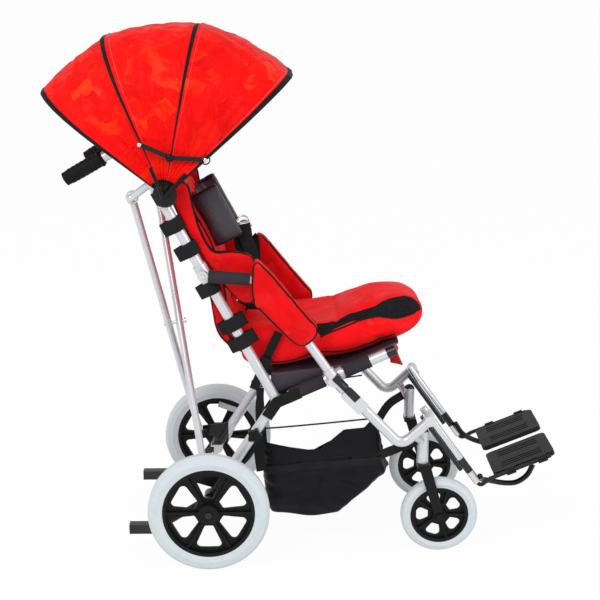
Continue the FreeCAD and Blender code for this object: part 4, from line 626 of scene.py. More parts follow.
def onCanes(reach, out, y):
    return seatPivot + reach[..., None] * caneWay + out[..., None] * backSquare + y[..., None] * sideways


def flatOutline(points, count):
    return curveThrough(np.asarray(points, float) / 1000, count, closed=True)


def pipingOn(name, piece, path, radius, rounds=3, closed=True, reference=sideways):
    line = smoothLine(nearestOn(piece, path, 0.0006), rounds, closed)
    return sweepProfile(name, line, roundProfile(radius, 8), reference, finishes["binding"], closed=closed)


def sewnLines(piece, distance, depth, width):
    # the skin sinks along a seam: depth times a bell curve of the distance to it
    sink = depth * np.exp(-(distance / width) ** 2)
    moveTo(piece, coordinates(piece) - skinNormals(piece) * sink[:, None])


# seat cushion

seatCushion = {
    "middle": [(-138, 474), (-60, 470), (20, 480), (110, 496), (200, 524), (252, 545), (282, 572), (288, 600),
               (270, 624), (222, 637), (166, 632), (112, 604), (84, 574), (20, 560), (-60, 560), (-128, 556),
               (-144, 520)],
    "edge": [(-138, 474), (-60, 468), (20, 486), (110, 499), (160, 510), (224, 536), (262, 553), (286, 574), (293, 598),
             (284, 630), (262, 652), (222, 645), (196, 629), (170, 614), (112, 592), (30, 576), (-60, 570), (-128, 562),
             (-144, 520)],
    "half": 0.1475, "farDrop": 0.038, "channels": (0.082, -0.035), "channelDepth": 0.004, "channelWidth": 0.006,
    "piping": 0.0022, "voxel": 0.0052, "pressure": 4.0, "cap": 0.006, "frames": 16,
}
# black side band: it lies between these two lines on the faces that look sideways
bandTop = np.array([(26, 570), (33, 575), (60, 581), (129, 602), (175, 619), (196, 632), (222, 646), (262, 655),
                    (300, 657)]) / 1000
bandLow = np.array([(26, 569), (42, 548), (118, 582), (176, 596), (229, 591), (286, 603), (304, 606)]) / 1000
bandBack, bandFacing, bandSoftness = 0.028, 0.38, 0.02
cushion = acrossLoft("seatCushion", flatOutline(seatCushion["middle"], 110), flatOutline(seatCushion["edge"], 110),
                     seatCushion["half"], sideViewPlace, finishes["seatRed"])


def farDropAt(points, lift=0.0):
    # how much lower the cushion's far front corner lies: it grows forwards, upwards and to the far side
    ahead = np.clip((points[:, 0] - 0.08) / 0.12, 0, 1)
    lifted = np.clip((points[:, 2] + lift - 0.50) / 0.12, 0, 1)
    return seatCushion["farDrop"] * ahead * lifted * np.clip(points[:, 1] / seatCushion["half"], 0, 1) ** 1.5


skin = coordinates(cushion)
skin[:, 2] -= farDropAt(skin)
moveTo(cushion, skin)
puff(cushion, seatCushion)
skin = coordinates(cushion)
level = skin[:, 2] + farDropAt(skin, 0.02)
top = np.interp(skin[:, 0], bandTop[:, 0], bandTop[:, 1])
low = np.interp(skin[:, 0], bandLow[:, 0], bandLow[:, 1])
facing = skinNormals(cushion)[:, 1] * np.sign(skin[:, 1])
band = np.minimum(np.minimum(top - level, level - low), (facing - bandFacing) * bandSoftness)
addAttribute(cushion, "band", np.minimum(band, skin[:, 0] - bandBack))
onTop = (skin[:, 2] > 0.54) & (np.abs(skin[:, 1]) < 0.14)
channels = np.min([np.abs(skin[:, 0] - x) for x in seatCushion["channels"]], axis=0)
sewnLines(cushion, np.where(onTop, channels, 1.0), seatCushion["channelDepth"], seatCushion["channelWidth"])
trims = []
for side in sides.values():
    for line in (bandTop[1:-1], bandLow[1:-1]):
        path = curveThrough(inSideView(line * 1000, side * 0.154), 60)
        path[:, 2] -= farDropAt(path)
        trims.append(pipingOn("cushionPiping", cushion, path, seatCushion["piping"], closed=False))
    rim = curveThrough(inSideView(seatCushion["edge"][:6], side * 0.150), 70)
    trims.append(pipingOn("cushionPiping", cushion, rim, seatCushion["piping"], closed=False))
settleWithPiping(cushion, trims, "seatCushionPiping", "right_frame", seatFold, ["seat_cushion"])

# red apron that hangs from the front edge of the seat
apron = {"top": (0.222, 0.517), "foot": (0.240, 0.474), "half": 0.146, "turn": 0.024, "ripple": 0.0035,
         "hem": 0.006, "thickness": 0.0024}
u = np.linspace(0, 1, 14)[:, None]
v = np.linspace(-1, 1, 90)[None, :]
ended = np.clip((np.abs(v) - 0.84) / 0.16, 0, 1)
downX, downZ = (foot - top for top, foot in zip(apron["top"], apron["foot"]))
points = np.stack([
    apron["top"][0] + downX * u + apron["ripple"] * np.sin(9 * v + 2 * u) * u
    - apron["turn"] * ended ** 1.5 * (0.6 + 0.4 * u),
    apron["half"] * np.sign(v) * np.minimum(np.abs(v) / 0.86, 1 - 0.02 * ended) + 0 * u,
    apron["top"][1] + downZ * u - apron["hem"] * np.sin(7 * v) * u,
], axis=-1)
seatApron = newPiece("seatApron", points, gridFaces(14, 90), finishes["seatRed"], outward=False)
giveWall(seatApron, apron["thickness"])
settle(seatApron, "right_frame", seatFold)
print("seat cushion done")


# sling: one sheet from rail to rail, under the cushion, with soft upright folds in its sides

sling = {"back": -0.078, "front": 0.230, "half": 0.1588, "thickness": 0.0016, "slack": 0.0012, "overRail": 0.0075,
         "railSlope": 23.9, "lowest": 0.4035, "depth": 0.362}
x = np.linspace(sling["back"], sling["front"], 70)
railTop = seatPivot[2] + (x - seatPivot[0]) * math.tan(math.radians(sling["railSlope"])) + sling["overRail"]
railTop = np.maximum(railTop, sling["lowest"])
underSeat = np.interp(x, [-0.14, -0.06, 0.02, 0.11, 0.20, 0.30], [0.459, 0.456, 0.466, 0.480, 0.503, 0.54])
underSeat = np.maximum(underSeat, railTop + 0.004)
t = np.linspace(0, 1, 26)
upright = railTop[:, None] + (underSeat - railTop)[:, None] * t[None]
fold = sling["slack"] * np.sin(x[:, None] * 90 + 1.2 * t) * np.sin(np.pi * t[None])
wallY = sling["half"] - 0.004 * t[None] ** 3 + 0 * x[:, None] - np.abs(fold)
flatY = np.linspace(1, -1, 42)[1:-1]
floorY = np.broadcast_to(flatY * (sling["half"] - 0.006), (70, 40))
floorZ = np.broadcast_to(underSeat[:, None], (70, 40)) + 0.0012
alongY = np.hstack([wallY, floorY, -wallY[:, ::-1]])
alongZ = np.hstack([upright, floorZ, upright[:, ::-1]])
points = np.stack([np.broadcast_to(x[:, None], alongY.shape), alongY, alongZ], axis=-1)
seatSling = newPiece("seatSling", points, gridFaces(70, alongY.shape[1]), finishes["slingVinyl"], outward=False)
giveWall(seatSling, sling["thickness"])
settle(seatSling, "right_frame", seatFold, ["seat_sling"])


# back rest

backRest = {
    "outline": [(122, -20), (158, -44), (205, -50), (270, -22), (402, 10), (519, 13), (590, 16), (603, 32), (592, 48),
                (519, 47), (402, 44), (284, 14), (205, -26), (158, -17), (116, 7)],
    "half": 0.150, "narrowing": 0.05, "seams": (0.078, 0.30, 0.40), "seamDepth": 0.0045, "piping": 0.0026,
    "voxel": 0.0055, "pressure": 4.0, "cap": 0.006, "frames": 16,
}
outline = flatOutline(backRest["outline"], 110)
narrow = outline + (outline.mean(axis=0) - outline) * [backRest["narrowing"], 0.0]
back = acrossLoft("backRest", outline, narrow, backRest["half"], onCanes, finishes["backRed"])
puff(back, backRest)
skin = coordinates(back) - seatPivot
reach = skin @ caneWay
beside = np.abs(skin[:, 1])
upright, lower, upper = backRest["seams"]
across = np.minimum(np.abs(reach - lower), np.abs(reach - upper))
seam = np.minimum(np.abs(beside - upright), np.where(beside < upright, across, 1.0))
sewnLines(back, np.where(beside < 0.143, seam, 1.0), backRest["seamDepth"], 0.006)
trims = []
rim = flatOutline(backRest["outline"], 140)
for side in sides.values():
    path = onCanes(rim[:, 0], rim[:, 1], np.full(140, side * 0.134))
    trims.append(pipingOn("backPiping", back, path, backRest["piping"], rounds=4))
settleWithPiping(back, trims, "backRestPiping", "right_cane", seatFold, ["back_rest"])

# padded panels beside the back, from the canes to the front of the shoulders
sidePanel = {
    "outline": [(-312, 914), (-290, 928), (-270, 916), (-254, 853), (-239, 806), (-213, 762), (-162, 760), (-122, 746),
                (-117, 700), (-116, 645), (-128, 634), (-153, 642), (-186, 678), (-222, 728), (-258, 788), (-288, 842)],
    "farDrop": [0, 0, 0, 0, 0, -14, -34, -40, -20, 0, 0, 0, 0, 0, 0, 0],
    "y": 0.1575, "spine": (-0.205, 0.745), "thickness": 0.021, "piping": 0.0022,
    "voxel": 0.0042, "pressure": 4.0, "cap": 0.003, "frames": 14,
}
for tag, side in sides.items():
    outline = inSideView(sidePanel["outline"], side * sidePanel["y"])
    if side > 0:
        outline[:, 2] += np.array(sidePanel["farDrop"]) / 1000
    spine = np.array([sidePanel["spine"][0], side * sidePanel["y"], sidePanel["spine"][1]])
    panel = pillow("backSidePanel_" + tag, outline, spine, sidePanel["thickness"], edge=0.1)
    puff(panel, sidePanel)
    rim = curveThrough(outline, 120, closed=True)
    trims = []
    for face in (-1, 1):
        path = spine + (rim - spine) * 0.985 + sideways * face * sidePanel["thickness"] * 0.3
        trims.append(pipingOn("panelPiping", panel, path, sidePanel["piping"], rounds=2))
    settleWithPiping(panel, trims, "backSidePiping_" + tag, "right_cane", seatFold)
print("back rest done")


# head support: a deep U of padding

headSupport = {"start": 0.388, "length": 0.138, "thickness": 0.028, "seam": 0.070, "seamDepth": 0.003, "piping": 0.0018,
               "voxel": 0.0046, "pressure": 3.5, "cap": 0.005, "frames": 16}
route = np.array([(0.104, 0.120), (0.106, 0.100), (0.104, 0.076), (0.088, 0.056), (0.045, 0.050), (0, 0.049)])
route = curveThrough(np.vstack([route * [1, 0.86], route[-2::-1] * [-1, 1]]), 60)
middle = headSupport["start"] + headSupport["length"] / 2
path = onCanes(np.full(60, middle), route[:, 1], route[:, 0])
head = sweepProfile("headSupport", path, flatProfile(headSupport["thickness"], headSupport["length"], 44), caneWay,
                    finishes["headVinyl"])
puff(head, headSupport)
beside = np.abs(coordinates(head)[:, 1])
seam = np.where(beside < 0.085, np.abs(beside - headSupport["seam"]), 1.0)
sewnLines(head, seam, headSupport["seamDepth"], 0.005)
trims = []
for step in (-1, 1):
    for out in (-1, 1):
        shift = onCanes(np.full(60, middle + step * headSupport["length"] * 0.47), route[:, 1], route[:, 0])
        tangent = unit(np.gradient(shift, axis=0))
        shift = shift + np.cross(tangent, caneWay) * out * headSupport["thickness"] * 0.46
        trims.append(pipingOn("headPiping", head, shift, headSupport["piping"], closed=False, reference=caneWay))
settleWithPiping(head, trims, "headSupportPiping", "right_cane", seatFold, ["head_support"])
print("head support done")


# side guards: padded sleeves round the arm links

sideGuard = {
    "outline": [(-112, 748), (-92, 734), (-67, 708), (-20, 652), (17, 606), (30, 588), (26, 566), (0, 546), (-20, 552),
                (-58, 586), (-98, 626), (-116, 646), (-119, 700)],
    "thickness": 0.040, "farDrop": 0.020, "piping": 0.0024,
    "voxel": 0.0045, "pressure": 4.0, "cap": 0.005, "frames": 16, "shrink": -0.04,
}
for tag, side in sides.items():
    outline = inSideView(sideGuard["outline"], side * linkHalf)
    outline[:, 2] -= 0.0 if side < 0 else sideGuard["farDrop"]
    centre = outline.mean(axis=0)
    guard = pillow("sideGuard_" + tag, outline, centre, sideGuard["thickness"], edge=0.13)
    puff(guard, sideGuard)
    rim = curveThrough(outline, 110, closed=True)
    trims = []
    for face in (-1, 1):
        path = centre + (rim - centre) * 0.985 + sideways * face * sideGuard["thickness"] * 0.36
        trims.append(pipingOn("guardPiping", guard, path, sideGuard["piping"], rounds=4))
    settleWithPiping(guard, trims, "sideGuardPiping_" + tag, tag + "_front_leg", None,
                     ["side_guard_" + tag])
print("side guards done")


# hood: cloth stretched from bow to bow, creased along the pull and sagging a little between them

hood = {
    "corner": 0.165, "start": 0.031, "clothLift": 0.0048, "ply": 0.0024, "dip": 0.0045, "rucks": 0.0019,
    "creases": 0.0019, "onBows": 0.0009, "thickness": 0.0014, "rows": 44, "columns": 150,
}
# each bow: distance from the hub, half width, angle in degrees
bows = {
    "rear": (0.366, 0.2000, 142.6), "second": (0.371, 0.2000, 113.0),
    "third": (0.374, 0.2095, 78.7), "front": (0.382, 0.2190, 41.8),
}


def archLine(reach, half, share):
    # (y, distance from the hub) along a bow: up a side, round a corner, over, and down again;
    # share 0 to 1 of its length, for arrays of reach and half width
    corner = hood["corner"]
    up = reach - corner - hood["start"]
    bend = corner * math.pi / 2
    total = up + bend + half - corner
    along = (1 - np.abs(2 * share - 1)) * total
    turn = np.clip((along - up) / corner, 0, math.pi / 2)
    y = half - corner * (1 - np.cos(turn)) - np.clip(along - up - bend, 0, None)
    r = hood["start"] + np.clip(along, 0, up) + corner * np.sin(turn)
    return np.sign(share - 0.5) * y, r, along / total


def hoodCloth(back, ahead, layer, v, share, lift=0.0):
    # v runs from the bow behind to the bow ahead, share along the bows
    v, share = np.meshgrid(v, share, indexing="ij")
    rise = hood["clothLift"] + hood["ply"] * (1 + layer)
    taut = np.sin(np.pi * np.clip(v, 0, 1))
    reach = back[0] + (ahead[0] - back[0]) * v + rise
    half = back[1] + (ahead[1] - back[1]) * v + rise
    angle = np.radians(back[2] + (ahead[2] - back[2]) * v)
    y, r, height = archLine(reach, half, share)
    way = np.stack([np.cos(angle), 0 * angle, np.sin(angle)], axis=-1)
    points = hoodHub + way * r[..., None] + y[..., None] * sideways
    outward = unit(np.stack([0 * y, y / 0.22, 0 * y], axis=-1) ** 3 + way * (height[..., None] ** 3 + 1e-3))
    rucks = (noiseField(points, 0.055, 3 + layer) + noiseField(points, 0.02, 9 + layer) * 0.35) * hood["rucks"]
    pulls = np.sin(np.degrees(angle) * 0.9 + 3.0 * noiseField(points, 0.16, 21 + layer)) * hood["creases"]
    pulls = pulls * np.clip(1.2 - height, 0, 1)
    onBow = noiseField(points, 0.030, 40 + layer) * hood["onBows"] * np.exp(-((np.minimum(v, 1 - v)) / 0.10) ** 2)
    change = (rucks + pulls) * taut ** 0.6 - hood["dip"] * taut * height - 0.0015 * taut + onBow
    return points + outward * (change + lift)[..., None]


def hoodPanel(name, back, ahead, layer, body, stands):
    v = np.linspace(0, 1, hood["rows"])
    share = np.linspace(0, 1, hood["columns"])
    points = hoodCloth(back, ahead, layer, v, share)
    cloth = newPiece(name, points, gridFaces(hood["rows"], hood["columns"]), finishes["hoodRed"], outward=False)
    giveWall(cloth, hood["thickness"])
    settle(cloth, body, hoodFold, [stands])


# tapes and seams that follow the cloth exactly, just above it: finish, height above the cloth and thickness
stripKinds = {"tape": ("binding", 0.0012, 0.0012), "seam": ("hoodSeam", 0.0005, 0.001)}


def hoodStrip(kind, back, ahead, layer, fromV, toV, fromShare=0.0, toShare=1.0):
    finishName, lift, thickness = stripKinds[kind]
    rows = 5 if toV - fromV < 0.2 else 40
    columns = 150 if toShare - fromShare > 0.2 else 4
    v, share = np.linspace(fromV, toV, rows), np.linspace(fromShare, toShare, columns)
    points = hoodCloth(back, ahead, layer, v, share, lift)
    strip = newPiece(kind, points, gridFaces(rows, columns), finishes[finishName], outward=False)
    giveWall(strip, thickness)
    return strip


second, third = bows["second"], bows["third"]
# each panel: the bows behind and ahead of it, its body, its node and where its strips run between the bows
panels = [
    ("hoodRearCloth", bows["rear"], second, "right_cane", "hood_panel_rear", [("tape", -0.014, 0.052)]),
    ("hoodMiddleCloth", second, third, "hood_third", "hood_panel_middle",
     [("tape", -0.020, 0.026), ("tape", 0.964, 1.012), ("seam", 0.075, 0.083)]),
    ("hoodFrontCloth", (third[0], third[1], third[2] - 0.3), bows["front"], "hood_front", "hood_panel_front",
     [("tape", 0.955, 1.012), ("seam", 0.930, 0.940), ("seam", 0.034, 0.040)]),
]
for layer, (name, behind, ahead, body, stands, strips) in enumerate(panels):
    hoodPanel(name, behind, ahead, layer, body, stands)
    trims = [hoodStrip(kind, behind, ahead, layer, fromV, toV) for kind, fromV, toV in strips]
    trims += [hoodStrip("tape", behind, ahead, layer, 0.0, 1.0, low, low + 0.008) for low in (0.0, 0.992)]
    settle(joinPieces(name + "Tape", trims), body, hoodFold)

# the bows and links are thin spring steel; each gets a copy of its mesh on its body in place of the solid node
springSteel = {
    "hood_fixed_bows": "right_cane", "hood_third_bow": "hood_third", "hood_front_bow": "hood_front",
    "hood_brace_links_rear": "hood_link_rear", "hood_brace_links_front": "hood_link_front",
}
for solid, body in springSteel.items():
    spring = bpy.data.objects.new(solid.replace("hood_", "spring_"), nodes[solid].data.copy())
    bpy.context.scene.collection.objects.link(spring)
    settle(spring, body, hoodFold, [solid])
print("hood done")


# heads of the pins in the hood links

linkPins = {
    "hoodKnuckle": ((-0.3037, 0.9925), 0.0095, 0.0050, "blackPlastic", "hood_link_rear", "black_plastic"),
    "hoodRivet_rear": ((-0.3713, 1.0225), 0.0050, 0.0032, "brightSteel", "right_cane", "bright_steel"),
    "hoodRivet_front": ((-0.2228, 0.9876), 0.0050, 0.0032, "brightSteel", "hood_front", "bright_steel"),
}
linkFace = 0.2392
for tag, side in sides.items():
    for name, ((x, z), radius, height, finishName, body, slotName) in linkPins.items():
        # a domed disc
        t = np.linspace(0, 1, 9)
        around = radius * np.concatenate([[1], np.sqrt(1 - t ** 3 * 0.98)])
        profile = np.stack([np.concatenate([[-0.0005], t * height]), around], axis=1)
        head = turnedPiece(name + "_" + tag, np.array([x, side * linkFace, z]), sideways * side, profile,
                           finishes[finishName], 28)
        settle(head, body, hoodFold)


# basket: a soft bag hung from straps; each upright line goes from the rim down, then in over the floor

basket = {
    "nearRim": [(0, 272), (0.06, 268), (0.24, 256), (0.39, 249), (0.50, 251), (0.61, 278), (0.71, 301), (0.88, 306),
                (0.94, 322), (1, 322)],
    "farRim": [(0, 165), (0.06, 162), (0.24, 152), (0.39, 147), (0.50, 148), (0.61, 172), (0.71, 196), (0.88, 203),
               (1, 226)],
    "backEdge": [(80, -82), (104, -94), (190, -101), (286, -110)],
    "frontEdge": [(80, 97), (185, 208), (193, 213), (204, 207), (233, 197), (266, 198), (322, 187)],
    "half": [(80, 126), (104, 134), (200, 138), (322, 137)], "floor": 0.082, "dip": 0.010, "sag": 0.005,
    "folds": 0.0036, "square": 12, "thickness": 0.0018,
}
basket = {key: np.array(value) / 1000 if isinstance(value, list) else value for key, value in basket.items()}
count = 240
v = np.linspace(0, 1, 60)[:, None]
angle = np.linspace(0, 2 * np.pi, count, endpoint=False)[None]
cosine, sine = np.cos(angle), np.sin(angle)
# round a rounded square: the sum of both coordinates to a high power is one
spread = (np.abs(cosine) ** basket["square"] + np.abs(sine) ** basket["square"]) ** (1 / basket["square"])
squareX, squareY = cosine / spread, sine / spread
share = (1 + squareX) / 2
rims = [np.interp(share, basket[rim][:, 0] * 1000, basket[rim][:, 1]) for rim in ("nearRim", "farRim")]
toFar = np.clip((squareY + 0.9) / 1.8, 0, 1)
rim = rims[0] * (1 - toFar) + rims[1] * toFar
z = rim + (basket["floor"] - rim) * v
backX, frontX, halfY = (np.interp(z, basket[key][:, 0], basket[key][:, 1]) for key in ("backEdge", "frontEdge", "half"))
x = backX + (frontX - backX) * share
y = halfY * squareY
z = z - basket["dip"] * np.exp(-((x - 0.022) / 0.05) ** 2) * v ** 6
shell = np.stack([x, y, z], axis=-1)
inner = np.linspace(1, 0.0, 14)[1:, None]
middleX = 0.01
floorPoints = np.stack([
    middleX + (x[-1] - middleX) * inner, y[-1] * inner, z[-1] - basket["sag"] * (1 - inner ** 2) + 0 * x[-1],
], axis=-1)
shell = np.concatenate([shell, floorPoints])
level = np.concatenate([v[:, 0], np.ones(13)])[:, None]
outward = unit(np.stack([squareX + 0 * shell[..., 0], squareY + 0 * shell[..., 0], 0 * shell[..., 0]], axis=-1) + 1e-9)
pulls = np.abs(np.sin(22 * shell[..., 0] + 34 * shell[..., 2] + 1.5 * noiseField(shell, 0.09, 60)))
folds = noiseField(shell * [1, 1, 0.55], 0.085, 61) + 0.6 * noiseField(shell, 0.035, 62) + 1.2 * (pulls - 0.6)
shell = shell + outward * (folds * basket["folds"] * np.sin(np.pi * level) ** 0.7 - 0.003)[..., None]
basketShell = newPiece("basketShell", shell, gridFaces(len(shell), count, closeColumns=True), finishes["basketNylon"],
                       outward=False)
giveWall(basketShell, basket["thickness"])
# webbing band round the bag, rising to the front, and a bound rim
bandAt = np.interp(shell[:60, :, 0], (-0.120, 0.002, 0.204), (0.196, 0.208, 0.224))
row = np.abs(shell[:60, :, 2] - bandAt).argmin(axis=0)
line = shell[row, np.arange(count)]
line[:, 2] = np.minimum(bandAt[row, np.arange(count)], shell[0, :, 2] - 0.010)
line = smoothLine(line + outward[0] * 0.0022, 3)
trims = [
    sweepProfile("rimTape", shell[0] + outward[0] * 0.0006, roundProfile(0.0030, 8), np.array([0.0, 0.0, 1.0]),
                 finishes["binding"], closed=True),
    sweepProfile("bagBand", line, flatProfile(0.0020, 0.020), (0.0, 0.0, 1.0), finishes["webbing"], closed=True),
]
# each strap: its line, what the far one starts lower by, its width and the way that it faces
straps = [
    ([(-0.102, 0.134, 0.196), (-0.109, 0.140, 0.262), (-0.108, 0.158, 0.318)], 0.044, 0.026, (0.5, 0.0, 1.0)),
    ([(0.192, 0.139, 0.238), (0.234, 0.160, 0.264), (0.276, 0.176, 0.290)], 0.038, 0.024, (-0.5, 0.0, 1.0)),
    ([(-0.106, 0.166, 0.319), (-0.060, 0.167, 0.3215), (0.049, 0.168, 0.3315), (0.166, 0.176, 0.346)],
     0.0, 0.004, (0.0, 0.0, 1.0)),
]
for side in sides.values():
    for points, lower, width, faces in straps:
        points = np.array(points) * [1, side, 1]
        points[0, 2] -= lower if side > 0 else 0.0
        strap = curveThrough(points, 24)
        trims.append(sweepProfile("hanger", strap, flatProfile(0.0024, width, 16), faces, finishes["webbing"]))
basketTrim = joinPieces("basketTrim", trims)
settle(basketShell, "right_frame", seatFold, ["basket"])
settle(basketTrim, "right_frame", seatFold)
print("basket done")


# webbing: loops round the canes, belts at the sides and over the shoulders

caneBands = {"heights": [0.828, 0.769, 0.678, 0.588, 0.545], "ahead": [0.004, 0.006, 0.004, 0.020, 0.022],
             "width": 0.034, "thickness": 0.0022, "tail": 0.020, "radius": 0.0146, "pinch": 0.62}
for tag, side in sides.items():
    loops = []
    for height, ahead in zip(caneBands["heights"], caneBands["ahead"]):
        reach = (height - seatPivot[2]) / caneWay[2]
        centre = seatPivot + caneWay * reach + sideways * side * frameHalf
        angle = np.linspace(0, 2 * np.pi, 72, endpoint=False)
        circle = np.stack([np.cos(angle), np.sin(angle)], axis=1)
        behind, before = np.clip(-circle[:, :1], 0, 1) ** 2, np.clip(circle[:, :1], 0, 1) ** 2
        pinched = 1 - caneBands["pinch"] * np.maximum(behind, before * (ahead > 0.01))
        line = centre + backSquare * (circle[:, :1] * caneBands["radius"] - caneBands["tail"] * behind + ahead * before)
        line = line + sideways * circle[:, 1:] * caneBands["radius"] * pinched
        loops.append(sweepProfile("loop", line, flatProfile(caneBands["thickness"], caneBands["width"]), caneWay,
                                  finishes["webbing"], closed=True))
    bands = joinPieces("caneBands_" + tag, loops)
    settle(bands, tag + "_cane")


# belts of the right side; on the left the first points of a line lie lower, as many as "dropped" says
belts = {
    "hipBelt": {"width": 0.022, "body": "right_frame", "reference": (0.9, 0.0, -0.4), "dropped": 0,
                "rests": [], "line": [
        (-0.058, 0.1575, 0.560), (-0.082, 0.1600, 0.510), (-0.104, 0.1605, 0.456), (-0.120, 0.1615, 0.418)]},
    "shoulderStrap": {"width": 0.032, "body": "right_cane", "reference": (1.0, 0.0, 0.16), "dropped": 2,
                      "rests": ["back_rest"], "line": [
        (-0.143, 0.090, 0.812), (-0.137, 0.091, 0.780), (-0.124, 0.096, 0.742), (-0.120, 0.100, 0.690),
        (-0.118, 0.096, 0.640), (-0.120, 0.090, 0.600)]},
    "shoulderBelt": {"width": 0.024, "body": "right_cane", "reference": (1.0, 0.0, 0.05), "dropped": 2,
                     "rests": ["back_rest"], "line": [
        (-0.156, 0.082, 0.806), (-0.154, 0.083, 0.770), (-0.146, 0.086, 0.735), (-0.140, 0.090, 0.690),
        (-0.142, 0.088, 0.640)]},
}
shoulderDrop = 0.045
for tag, side in sides.items():
    for name, values in belts.items():
        points = np.array(values["line"]) * [1, side, 1]
        points[:values["dropped"], 2] -= shoulderDrop if side > 0 else 0.0
        line = curveThrough(points, 60)
        strap = sweepProfile(name + "_" + tag, line, flatProfile(0.0020, values["width"]), values["reference"],
                             finishes["webbing"])
        settle(strap, values["body"], seatFold)


# ring of each shoulder strap: a straight bar and a round bow, bent from wire
ring = {"radius": 0.016, "wire": 0.0022, "way": np.array([-0.1, 0.0, 1.0]), "across": np.array([1.0, 0.0, 0.1])}
for tag, side in sides.items():
    centre = np.array([-0.143, side * 0.090, 0.816 if side < 0 else 0.816 - shoulderDrop])
    t = np.linspace(-np.pi / 2, np.pi / 2, 26)[:, None]
    bow = centre + ring["radius"] * (np.sin(t) * ring["across"] + np.cos(t) * ring["way"])
    bar = bow[-1] + (bow[0] - bow[-1]) * np.linspace(0, 1, 12)[1:-1, None]
    piece = sweepProfile("shoulderRing_" + tag, np.vstack([bow, bar]), roundProfile(ring["wire"], 8),
                         np.cross(ring["way"], ring["across"]), finishes["brightSteel"], closed=True)
    settle(piece, "right_cane", seatFold)

# small side buckle on each hip belt
buckle = {"length": 0.038, "thickness": 0.006, "width": 0.030}
for tag, side in sides.items():
    along = np.linspace(-0.5, 0.5, 9)[:, None] * buckle["length"]
    line = np.array([-0.094, side * 0.163, 0.482]) + np.array([-0.42, 0.0, -0.9]) * along
    plate = sweepProfile("hipBuckle_" + tag, line, flatProfile(buckle["thickness"], buckle["width"]), (0.9, 0.0, -0.42),
                         finishes["blackPlastic"])
    settle(plate, "right_frame", seatFold)
print("webbing done")


# foam sleeves on the seat rails, in two lengths
railSleeve = {"lengths": [(0.036, 0.126), (0.178, 0.246)], "radius": 0.0158, "bore": 0.0127}
for tag, side in sides.items():
    sleeves = []
    for start, end in railSleeve["lengths"]:
        t = np.linspace(0, 1, 40)
        radius = railSleeve["radius"] - 0.0012 * np.exp(-np.minimum(t, 1 - t) * 60) + 0.0002 * np.sin(t * 60)
        along = np.concatenate([[0], t, [1]]) * (end - start) + start
        profile = np.stack([along, np.concatenate([[railSleeve["bore"]], radius, [railSleeve["bore"]]])], axis=1)
        start = seatPivot + sideways * side * frameHalf
        sleeves.append(turnedPiece("sleeve", start, railWay, profile, finishes["foam"]))
    settle(joinPieces("railSleeve_" + tag, sleeves), tag + "_frame")


# bent black tube that carries each foot plate
plateRail = {
    "near": [(0.438, 0.190), (0.447, 0.170), (0.474, 0.158), (0.508, 0.149), (0.540, 0.150), (0.566, 0.168),
             (0.580, 0.196)],
    "far": [(0.420, 0.212), (0.434, 0.196), (0.462, 0.184), (0.500, 0.176), (0.534, 0.180), (0.560, 0.198)],
    "y": 0.104, "swing": 0.060, "radius": 0.0068,
}
for tag, side in sides.items():
    route = np.array(plateRail["near" if side < 0 else "far"]) * 1000
    path = curveThrough(inSideView(route, side * plateRail["y"]), 60)
    path[:, 1] += side * plateRail["swing"] * np.exp(-np.linspace(0, 6, 60))
    tube = sweepProfile("plateRail_" + tag, path, roundProfile(plateRail["radius"], 14), sideways,
                        finishes["blackSteel"])
    settle(tube, tag + "_foot_plate")

# push grips: ribbed rubber with a collar and a closed end
grip = {"radius": 0.0160, "rib": 0.0013, "ribs": 9, "swell": 0.0010, "flange": 0.0192, "length": 0.102, "cap": 0.0165,
        "bore": 0.0127, "slope": math.radians(29.5), "bendAt": 0.711, "handle": 0.170}
handleWay = -np.array([math.cos(grip["slope"]), 0.0, math.sin(grip["slope"])])
gripTip = seatPivot + caneWay * grip["bendAt"] + handleWay * grip["handle"]
for tag, side in sides.items():
    t = np.linspace(0, 1, 120)
    ribs = grip["rib"] * np.abs(np.sin(t * np.pi * grip["ribs"])) ** 0.6
    radius = grip["radius"] + ribs * (t > 0.10) * (t < 0.90) + grip["swell"] * np.sin(np.pi * t)
    flange = np.exp(-((t - 0.93) / 0.035) ** 4)
    radius = radius + (grip["flange"] - grip["radius"]) * flange
    dome = np.linspace(0, np.pi / 2, 12)
    profile = np.vstack([
        np.stack([-0.004 * np.cos(dome), grip["cap"] * np.sin(dome)], axis=1),
        np.stack([t * grip["length"], radius], axis=1), [[grip["length"], grip["bore"]]],
    ])
    tip = gripTip + sideways * side * frameHalf
    piece = turnedPiece("pushGrip_" + tag, tip, -handleWay, profile, finishes["rubber"], 64)
    settle(piece, tag + "_cane", None, ["grip_" + tag])
print("grips and sleeves done")


# floor, lights and camera

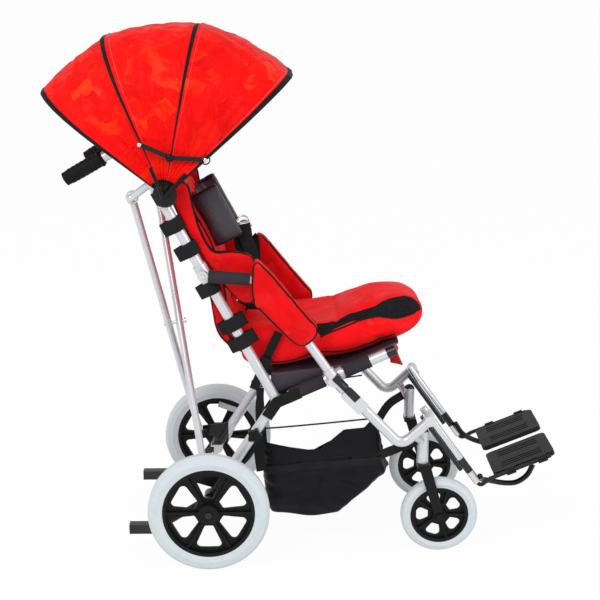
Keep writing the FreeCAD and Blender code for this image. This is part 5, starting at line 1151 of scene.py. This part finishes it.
stage = {"floor": 90.0, "floorColour": rgb(0.93, 0.93, 0.93), "floorGlow": 0.95, "world": 0.72, "key": 62.0,
         "fill": 24.0}
corners = np.array([(-1, -1, 0), (1, -1, 0), (1, 1, 0), (-1, 1, 0)]) * stage["floor"] - [0, 0, 0.0005]
floor = newPiece("floor", corners, [[0, 1, 2, 3]], None, outward=False)
paint = bpy.data.materials.new("pale floor")
paint.use_nodes = True
tree = paint.node_tree
tree.nodes.remove(tree.nodes["Principled BSDF"])
rays = addNode(tree, "ShaderNodeLightPath").outputs
reflected = mathNode(tree, "MAXIMUM", rays["Is Glossy Ray"], rays["Is Transmission Ray"])
seen = mathNode(tree, "MAXIMUM", rays["Is Camera Ray"], reflected)
diffuse = addNode(tree, "ShaderNodeBsdfDiffuse", {"Color": stage["floorColour"]}).outputs[0]
glow = addNode(tree, "ShaderNodeEmission", {"Color": rgb(1, 1, 1), "Strength": 1.0}).outputs[0]
share = mathNode(tree, "MULTIPLY", seen, stage["floorGlow"])
mixed = addNode(tree, "ShaderNodeMixShader", {0: share, 1: diffuse, 2: glow})
tree.links.new(mixed.outputs[0], tree.nodes["Material Output"].inputs["Surface"])
floor.data.materials.append(paint)

world = bpy.data.worlds.new("studio")
bpy.context.scene.world = world
world.use_nodes = True
tree = world.node_tree
rays = addNode(tree, "ShaderNodeLightPath").outputs
seen = mathNode(tree, "MAXIMUM", rays["Is Camera Ray"], rays["Is Transmission Ray"])
strength = addNode(tree, "ShaderNodeMapRange", {
    "Value": seen, "To Min": stage["world"], "To Max": 1.0,
}).outputs["Result"]
tree.nodes["Background"].inputs["Color"].default_value = rgb(1, 1, 1)
tree.links.new(strength, tree.nodes["Background"].inputs["Strength"])


def softLamp(name, place, size, power):
    lamp = bpy.data.lights.new(name, "AREA")
    lamp.size, lamp.energy, lamp.shape = size, power, "DISK"
    item = bpy.data.objects.new(name, lamp)
    item.location = place
    aim = np.array([0.0, 0.0, 0.6]) - np.array(place)
    item.rotation_euler = (math.atan2(math.hypot(aim[0], aim[1]), -aim[2]), 0, math.atan2(aim[1], aim[0]) - math.pi / 2)
    bpy.context.scene.collection.objects.link(item)


softLamp("key lamp", (-1.6, -2.8, 3.2), 1.8, stage["key"])
softLamp("fill lamp", (2.6, -1.6, 1.9), 2.2, stage["fill"])

view = {"place": (-0.0622, -3.2115, 1.4097), "turn": (75.85, 0.0, -1.03), "lens": 79.1, "sensor": 36.0}
camera = bpy.data.objects.new("camera", bpy.data.cameras.new("camera"))
camera.location = view["place"]
camera.rotation_euler = [math.radians(angle) for angle in view["turn"]]
camera.data.lens, camera.data.sensor_width = view["lens"], view["sensor"]
bpy.context.scene.collection.objects.link(camera)
bpy.context.scene.camera = camera
bpy.context.scene.view_settings.view_transform = "Standard"
